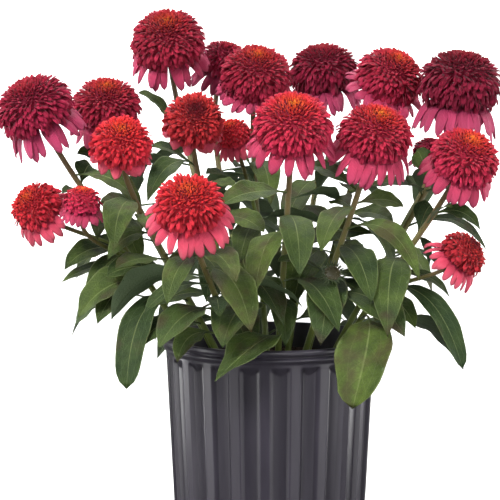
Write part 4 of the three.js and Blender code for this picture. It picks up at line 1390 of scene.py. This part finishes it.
@dataclass(frozen=True)
class Whorl:
    """The rule by which the other leaves wind up a stem, from the lowest to the highest."""

    leaves: int = 6
    golden: float = 137.5
    turn: float = 45
    last: float = 0.85
    start: float = 0.4
    length: tuple[float, float] = (120, 78)
    slim: float = 0.4
    stalk: tuple[float, float] = (0.34, 0.08)
    arch: tuple[float, float] = (0.3, 0.12)
    sag: tuple[float, float] = (0.45, 0.35)
    tilt: float = 40
    bow: float = 0.12
    spread: float = 200
    lowest: float = 5
    stray_rise: float = 0.35
    stray_length: float = 0.12
    stray_sag: float = 0.7

    def leaf(self, number: int, stem: "LeafyStem", order: int, k: int) -> Leaf:
        """Returns the k-th leaf of a stem as the rule draws it.

        Args:
            number: Its number among all leaves.
            stem: The stem it grows on.
            order: The stem's number.
            k: The leaf's place on the stem, from 0.
        """
        line = stem.line()
        rise = (k + self.start + self.stray_rise * vary(order, k)) / self.leaves
        start = line.at_height(lerp(stem.soil + self.lowest, line.at(1).z, rise * self.last))
        length = lerp(*self.length, rise) * (1 + self.stray_length * vary(order, k + 5))
        angle = math.radians(self.turn + self.golden * (k + order * self.leaves))
        sag = length * lerp(*self.sag, rise) * (1 + self.stray_sag * vary(order, k + 9))
        tip = start + Vector((length * math.cos(angle), length * math.sin(angle), -sag))
        tip.xy *= min(1.0, self.spread / tip.xy.length)
        return Leaf(
            number,
            stem.name,
            start,
            tip,
            length * self.slim,
            length * lerp(*self.arch, rise),
            lerp(*self.stalk, rise),
            self.tilt * vary(order, k + 13),
            length * self.bow * vary(order, k + 17),
        )


# How far a leaf may be turned and lifted so that it clears what already grows there, and how close its tip
# then lies to a corner of its stem's solid.
TURNS = (0, 10, -10, 20, -20, 32, -32, 45, -45, 60, -60, 80, -80)
LIFTS = (0, 12, -12, 26, -24)
NEAR = 0.2
CORNERS: dict[str, KDTree] = {}


def settled(leaf: Leaf) -> Leaf | None:
    """Finds how a leaf was turned and lifted to clear what grows round it.

    Args:
        leaf: The leaf as it is drawn.

    Returns:
        The leaf whose tip is a corner of the stem's solid, or None where the solid has no such leaf.
    """
    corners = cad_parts[f"leafy_stem_{leaf.stem}"].data.vertices
    tree = CORNERS.get(leaf.stem)
    if tree is None:
        tree = KDTree(len(corners))
        for number, corner in enumerate(corners):
            tree.insert(corner.co / MM, number)
        tree.balance()
        CORNERS[leaf.stem] = tree
    for turn in TURNS:
        for lift in LIFTS:
            tried = leaf.bent(turn, lift)
            if tree.find(tried.tip)[2] < NEAR:
                return tried
    return None


# ---------------------------------------------------------------- stems


@dataclass(frozen=True)
class Shoot:
    """The girth and the curve of a stem or branch. Sizes in millimetres."""

    foot: float
    neck: float
    lean: float
    reach: float
    rows: int


MAIN = Shoot(3.4, 2.6, 14, 0.24, 40)
BRANCH = Shoot(2.3, 2, 10, 0.3, 24)
BUD_BRANCH = Shoot(2, 1.7, 0, 0, 12)


@dataclass(frozen=True)
class Bud:
    """A closed bud of stiff bracts on a short branch. Sizes in millimetres."""

    stem: str = "12"
    height: float = 268
    at: tuple[float, float, float] = (58, -84, 292)
    faces: tuple[float, float, float] = (0.1, -1, 0.7)
    radius: float = 7
    girth: float = 1.15
    half_height: float = 2.4
    spikes: int = 46


BUD = Bud()


@dataclass(frozen=True)
class LeafyStem:
    """A flowering stem with its branches, leaves, bracts and bristles. Sizes in millimetres."""

    name: str
    root: tuple[float, float]
    branches: tuple[tuple[str, float], ...] = ()

    soil = 196.0
    root_depth = 22.0
    rise = 0.3
    around = 10

    # Hairs to a millimetre, radians from one to the next, the shares of the stem where they start and that
    # they cover, and their length and radius.
    hairs_per_mm = 1.1
    hair_turn = 2.4
    hair_from = 0.12
    hair_span = 0.86
    hair_length = 1.3
    hair_radius = 0.14

    # The cup's radius, and a bract's length and half width, are shares of the pompon's radius.
    cup_width = 0.27
    bract_rows = 3
    bracts = 12
    bract_length = 0.24
    bract_half = 0.055
    bract_thickness = 0.35

    def shoot_line(self, start: Vector, bloom: Bloom, shoot: Shoot) -> Curve:
        """Returns the line from a point to the neck of a bloom, which it meets square on."""
        top = bloom.place(UP * bloom.neck)
        behind = bloom.place(UP * (bloom.neck - shoot.reach * (start - top).length))
        rise = start.lerp(top, self.rise) + UP * shoot.lean
        return Curve(start, rise, behind, top)

    def line(self) -> Curve:
        """Returns the line of the main stem."""
        return self.shoot_line(Vector((*self.root, self.soil - self.root_depth)), BLOOMS[self.name], MAIN)

    def build(self, leaves: list[Leaf]) -> None:
        """Builds the stem with its leaves and dresses it.

        Args:
            leaves: The leaves of the whole plant, from which the stem takes its own.
        """
        skin, stem, bract = Skin(), STEM_SKIN.material(), BRACT.material()
        line = self.line()
        self.tube(skin, line, MAIN, stem)
        self.bristle(skin, line, MAIN, stem)
        self.cup(skin, BLOOMS[self.name], MAIN, bract)
        for name, height in self.branches:
            fork = self.shoot_line(line.at_height(height), BLOOMS[name], BRANCH)
            self.tube(skin, fork, BRANCH, stem)
            self.bristle(skin, fork, BRANCH, stem)
            self.cup(skin, BLOOMS[name], BRANCH, bract)
        if BUD.stem == self.name:
            self.bud(skin, line.at_height(BUD.height), stem)
        blade = LEAF.material()
        for leaf in leaves:
            if leaf.stem == self.name:
                leaf.grow(skin, blade)
        skin.piece(f"stem_and_leaves_{self.name}", "leaf", f"leafy_stem_{self.name}")

    def ring(self, line: Curve, share: float) -> tuple[Vector, Vector, Vector, Vector]:
        """Returns the middle, the way along and two axes across a line at a share of it."""
        along = line.heading(share)
        side = (Vector((0, 1, 0)) - along * along.y).normalized()
        return line.at(share), along, side, along.cross(side)

    def tube(self, skin: Skin, line: Curve, shoot: Shoot, finish: bpy.types.Material) -> None:
        """Adds the tapering stem round a line."""
        rows = shoot.rows

        def section(row: float) -> Section:
            """Returns the stem's cross-section at a share of its rows."""
            share = min(1.0, max(0.0, (row * rows - 1) / (rows - 2)))
            middle, _, side, across = self.ring(line, share)
            radius = lerp(shoot.foot, shoot.neck, share)

            def point(cosine: float, sine: float) -> Vector:
                """Returns a point of the cross-section."""
                return middle + side * (radius * cosine) + across * (radius * sine)

            return point

        skin.ball(self.around, rows, section, finish)

    def bristle(self, skin: Skin, line: Curve, shoot: Shoot, finish: bpy.types.Material) -> None:
        """Adds the short stiff hairs of a stem."""
        length = (line.at(1) - line.at(0)).length
        hairs = length * self.hairs_per_mm
        for number in range(int(hairs)):
            share = self.hair_from + self.hair_span * (number + 0.5) / hairs
            middle, along, side, across = self.ring(line, share)
            turn = number * self.hair_turn
            out = side * math.cos(turn) + across * math.sin(turn)
            foot = middle + out * (lerp(shoot.foot, shoot.neck, share) - 0.1)
            tip = foot + (out + along * 0.35) * (self.hair_length + 0.4 * vary(number, 41))
            skin.spike(foot, tip, self.hair_radius, finish)

    def cup(self, skin: Skin, bloom: Bloom, shoot: Shoot, finish: bpy.types.Material) -> None:
        """Adds the receptacle under a bloom, with its rows of pointed bracts."""
        turn, at = bloom.turn(), Vector(bloom.at)
        wide = bloom.radius * self.cup_width

        def section(share: float) -> Section:
            """Returns the receptacle's cross-section at a share of its height."""
            height = bloom.neck + bloom.cup * min(1.0, share * 1.05)
            radius = lerp(shoot.neck * 0.9, wide, ease(0.1, 0.95, share)) if 0 < share < 1 else 0.0

            def point(cosine: float, sine: float) -> Vector:
                """Returns a point of the cross-section."""
                return turn @ Vector((radius * cosine, radius * sine, height)) + at

            return point

        skin.ball(14, 8, section, finish)
        for row in range(self.bract_rows):
            for number in range(self.bracts):
                self.bract(skin, bloom, row, number, finish)

    def bract(self, skin: Skin, bloom: Bloom, row: int, number: int, finish: bpy.types.Material) -> None:
        """Adds one bract, which springs from the cup and turns down at its point."""
        turn, at = bloom.turn(), Vector(bloom.at)
        angle = math.tau * (number + row / self.bract_rows) / self.bracts + 0.1 * vary(number, row + 50)
        out = Vector((math.cos(angle), math.sin(angle), 0))
        side = Vector((-out.y, out.x, 0))
        foot = out * bloom.radius * (0.1 + 0.06 * row) + UP * (bloom.neck + bloom.cup * (0.45 + 0.22 * row))
        length = bloom.radius * (self.bract_length + 0.03 * vary(number, row + 53))
        tip = foot + out * length - UP * (length * (0.45 + 0.2 * vary(number, row + 56)))
        line = Curve(foot, foot + out * length * 0.6 + UP * length * 0.12, tip)

        def section(share: float) -> Section:
            """Returns the bract's cross-section at a share of its length."""
            along = line.heading(share)
            up = along.cross(side)
            middle = line.at(share)
            half = bloom.radius * self.bract_half * math.sqrt(max(0.0, 1 - share)) * (0.6 + 0.8 * share)

            def point(cosine: float, sine: float) -> Vector:
                """Returns a point of the cross-section."""
                return turn @ (middle + side * (half * cosine) + up * (self.bract_thickness * sine)) + at

            return point

        skin.ball(6, 6, section, finish)

    def bud(self, skin: Skin, start: Vector, stem: bpy.types.Material) -> None:
        """Adds the closed bud on its short branch: a brownish heart in a ruff of long dark bracts."""
        heart, bract = BUD_HEART.material(), BUD_BRACT.material()
        turn, at, radius = UP.rotation_difference(Vector(BUD.faces)), Vector(BUD.at), BUD.radius
        line = Curve(start, turn @ (UP * -3 * radius) + at, at)
        self.tube(skin, line, BUD_BRANCH, stem)
        self.bristle(skin, line, BUD_BRANCH, stem)

        def section(share: float) -> Section:
            """Returns the bud's cross-section at a share of its way down."""
            flat = BUD.girth * radius * math.sin(math.pi * share)
            height = BUD.half_height + BUD.half_height * math.cos(math.pi * share)

            def point(cosine: float, sine: float) -> Vector:
                """Returns a point of the cross-section."""
                return turn @ Vector((flat * cosine, -flat * sine, height)) + at

            return point

        skin.ball(16, 8, section, heart)
        for number in range(BUD.spikes):
            polar = 0.2 + 1.5 * math.sqrt((number + 0.5) / BUD.spikes)
            about = golden(number)
            out = Vector((math.cos(about), math.sin(about), 0))
            foot = out * (1.1 * radius * math.sin(polar)) + UP * (2.6 + 2.0 * math.cos(polar))
            lean = out * (0.5 + 0.6 * math.sin(polar)) + UP * 0.9 * max(math.cos(polar), 0.25)
            ruff = ease(0.8, 1.3, polar)
            tip = foot + lean.normalized() * lerp(2.4, 6.5 + 1.5 * vary(number, 61), ruff)
            finish = bract if ruff > 0.3 else heart
            skin.spike(turn @ foot + at, turn @ tip + at, lerp(0.8, 1.2, ruff), finish)


STEMS = (
    LeafyStem("01", (-58, -3), (("15", 300), ("16", 285))),
    LeafyStem("02", (-45, 24)),
    LeafyStem("03", (-38, -20)),
    LeafyStem("04", (-27, 36)),
    LeafyStem("05", (-20, -4)),
    LeafyStem("06", (-10, 54)),
    LeafyStem("07", (-2, 20), (("08", 330),)),
    LeafyStem("09", (6, -24)),
    LeafyStem("10", (16, 42)),
    LeafyStem("11", (32, 22)),
    LeafyStem("12", (26, -14)),
    LeafyStem("13", (52, 12), (("19", 310),)),
    LeafyStem("14", (50, -16), (("18", 262),)),
    LeafyStem("17", (-20, -44)),
)


def all_leaves() -> list[Leaf]:
    """Returns every leaf of the plant where it has settled."""
    stems = {stem.name: stem for stem in STEMS}
    whorl = Whorl()
    drawn = []
    for name, height, tip, *shape in FRONT_LEAVES:
        start = stems[name].line().at_height(height)
        drawn.append(Leaf(len(drawn), name, start, Vector(tip), *shape))
    for order, stem in enumerate(STEMS):
        for k in range(1 if stem.root[1] < 0 else 0, whorl.leaves):
            drawn.append(whorl.leaf(len(drawn), stem, order, k))
    found = [settled(leaf) for leaf in drawn]
    log.info("%d of %d leaves found", sum(leaf is not None for leaf in found), len(found))
    return [leaf for leaf in found if leaf]


# ---------------------------------------------------------------- studio


@dataclass(frozen=True)
class Lamp:
    """A soft box: where it stands, where it points, its sides in metres and its power in watts."""

    name: str
    at: tuple[float, float, float]
    aim: tuple[float, float, float]
    sides: tuple[float, float]
    power: float

    def build(self) -> None:
        """Hangs the lamp."""
        data = bpy.data.lights.new(self.name, "AREA")
        data.shape = "RECTANGLE"
        data.size, data.size_y = self.sides
        data.energy = self.power
        lamp = bpy.data.objects.new(self.name, data)
        bpy.context.scene.collection.objects.link(lamp)
        lamp.location = self.at
        lamp.rotation_euler = (Vector(self.aim) - Vector(self.at)).to_track_quat("-Z", "Y").to_euler()


@dataclass(frozen=True)
class Studio:
    """A pale floor under soft light, and the camera. Lengths in metres."""

    eye: tuple[float, float, float] = (-0.02, -1.6, 0.449)
    aim: tuple[float, float, float] = (-0.02, 0.0, 0.308)
    lens: float = 115.6
    floor_side: float = 40.0
    paper_colour: str = "#f4f4f4"
    wall_at: float = 3.2
    wall_light: float = 1.05
    floor_light: float = 0.22
    sky: float = 0.19
    lamps: tuple[Lamp, ...] = (
        Lamp("key", (-0.9, -1.7, 1.9), (0.0, 0.0, 0.32), (1.0, 1.0), 74.0),
        Lamp("fill", (1.5, -1.5, 0.9), (0.0, 0.0, 0.3), (1.0, 1.0), 12.0),
        Lamp("front", (0.4, -2.1, 0.4), (0.05, 0.0, 0.2), (0.8, 0.6), 7.0),
        Lamp("left_strip", (-1.1, 0.45, 0.4), (0.0, 0.0, 0.2), (0.25, 1.2), 9.0),
        Lamp("right_strip", (1.1, 0.45, 0.4), (0.0, 0.0, 0.2), (0.25, 1.2), 9.0),
        Lamp("left_side", (-1.5, -0.5, 0.35), (0.0, 0.0, 0.2), (0.35, 1.2), 7.0),
        Lamp("right_side", (1.5, -0.6, 0.35), (0.0, 0.0, 0.2), (0.35, 1.2), 6.0),
        Lamp("bounce_far_left", (-1.9, -0.6, -0.3), (0.0, 0.0, 0.1), (0.5, 0.8), 3.0),
        Lamp("bounce_left", (-1.26, -1.55, -0.35), (0.0, 0.0, 0.1), (0.5, 0.8), 3.0),
        Lamp("bounce_right", (0.88, -1.8, -0.35), (0.0, 0.0, 0.1), (0.5, 0.8), 3.0),
        Lamp("bounce_far_right", (1.7, -1.0, -0.3), (0.0, 0.0, 0.1), (0.5, 0.8), 3.0),
        Lamp("floor_wash", (0.0, 1.7, 2.4), (0.0, 1.7, 0.0), (3.0, 2.0), 130.0),
    )

    def sheet(self, name: str, side: float, finish: bpy.types.Material) -> bpy.types.Object:
        """Lays a square sheet of the studio.

        Args:
            name: The sheet's name.
            side: Its side in metres.
            finish: Its material.

        Returns:
            The sheet, level at the origin.
        """
        bm = bmesh.new()
        bmesh.ops.create_grid(bm, x_segments=1, y_segments=1, size=side / 2)
        mesh = bpy.data.meshes.new(name)
        bm.to_mesh(mesh)
        bm.free()
        mesh.materials.append(finish)
        made = bpy.data.objects.new(name, mesh)
        bpy.context.scene.collection.objects.link(made)
        made.visible_diffuse = made.visible_glossy = made.visible_shadow = False
        return made

    def paper(self, name: str, light: float) -> bpy.types.Material:
        """Returns matt white paper that may glow a little."""
        made = bpy.data.materials.new(name)
        made.use_nodes = True
        surface = made.node_tree.nodes["Principled BSDF"].inputs
        surface["Base Color"].default_value = linear(self.paper_colour)
        surface["Roughness"].default_value = 0.9
        surface["Specular IOR Level"].default_value = 0.1
        surface["Emission Color"].default_value = (1, 1, 1, 1)
        surface["Emission Strength"].default_value = light
        return made

    def build(self) -> None:
        """Lays the floor, hangs the backdrop and the lamps, and sets the camera."""
        scene = bpy.context.scene
        self.sheet("floor", self.floor_side, self.paper("pale_paper", self.floor_light))
        lit = self.paper("lit_paper", self.wall_light)
        for number in range(4):
            wall = self.sheet(f"backdrop_{number}", self.floor_side, lit)
            wall.location = Quaternion(UP, math.pi / 2 * number) @ Vector((0, self.wall_at, 0))
            wall.rotation_euler = (math.radians(90), 0, math.pi / 2 * number)
        world = bpy.data.worlds.new("soft_light")
        world.use_nodes = True
        world.node_tree.nodes["Background"].inputs["Color"].default_value = (1, 1, 1, 1)
        world.node_tree.nodes["Background"].inputs["Strength"].default_value = self.sky
        scene.world = world
        scene.view_settings.view_transform = "Standard"
        for lamp in self.lamps:
            lamp.build()
        data = bpy.data.cameras.new("camera")
        data.lens = self.lens
        camera = bpy.data.objects.new("camera", data)
        scene.collection.objects.link(camera)
        camera.location = self.eye
        camera.rotation_euler = (Vector(self.aim) - Vector(self.eye)).to_track_quat("-Z", "Y").to_euler()
        scene.camera = camera


def main() -> None:
    """Builds the plant and its studio."""
    logging.basicConfig(level=logging.INFO, format="%(message)s")
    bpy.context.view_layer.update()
    pot = NurseryPot()
    pot.build()
    PottingMix(pot).build()
    leaves = all_leaves()
    for stem in STEMS:
        stem.build(leaves)
    for bloom in BLOOMS.values():
        bloom.build()
    Studio().build()


if __name__ == "__main__":
    main()
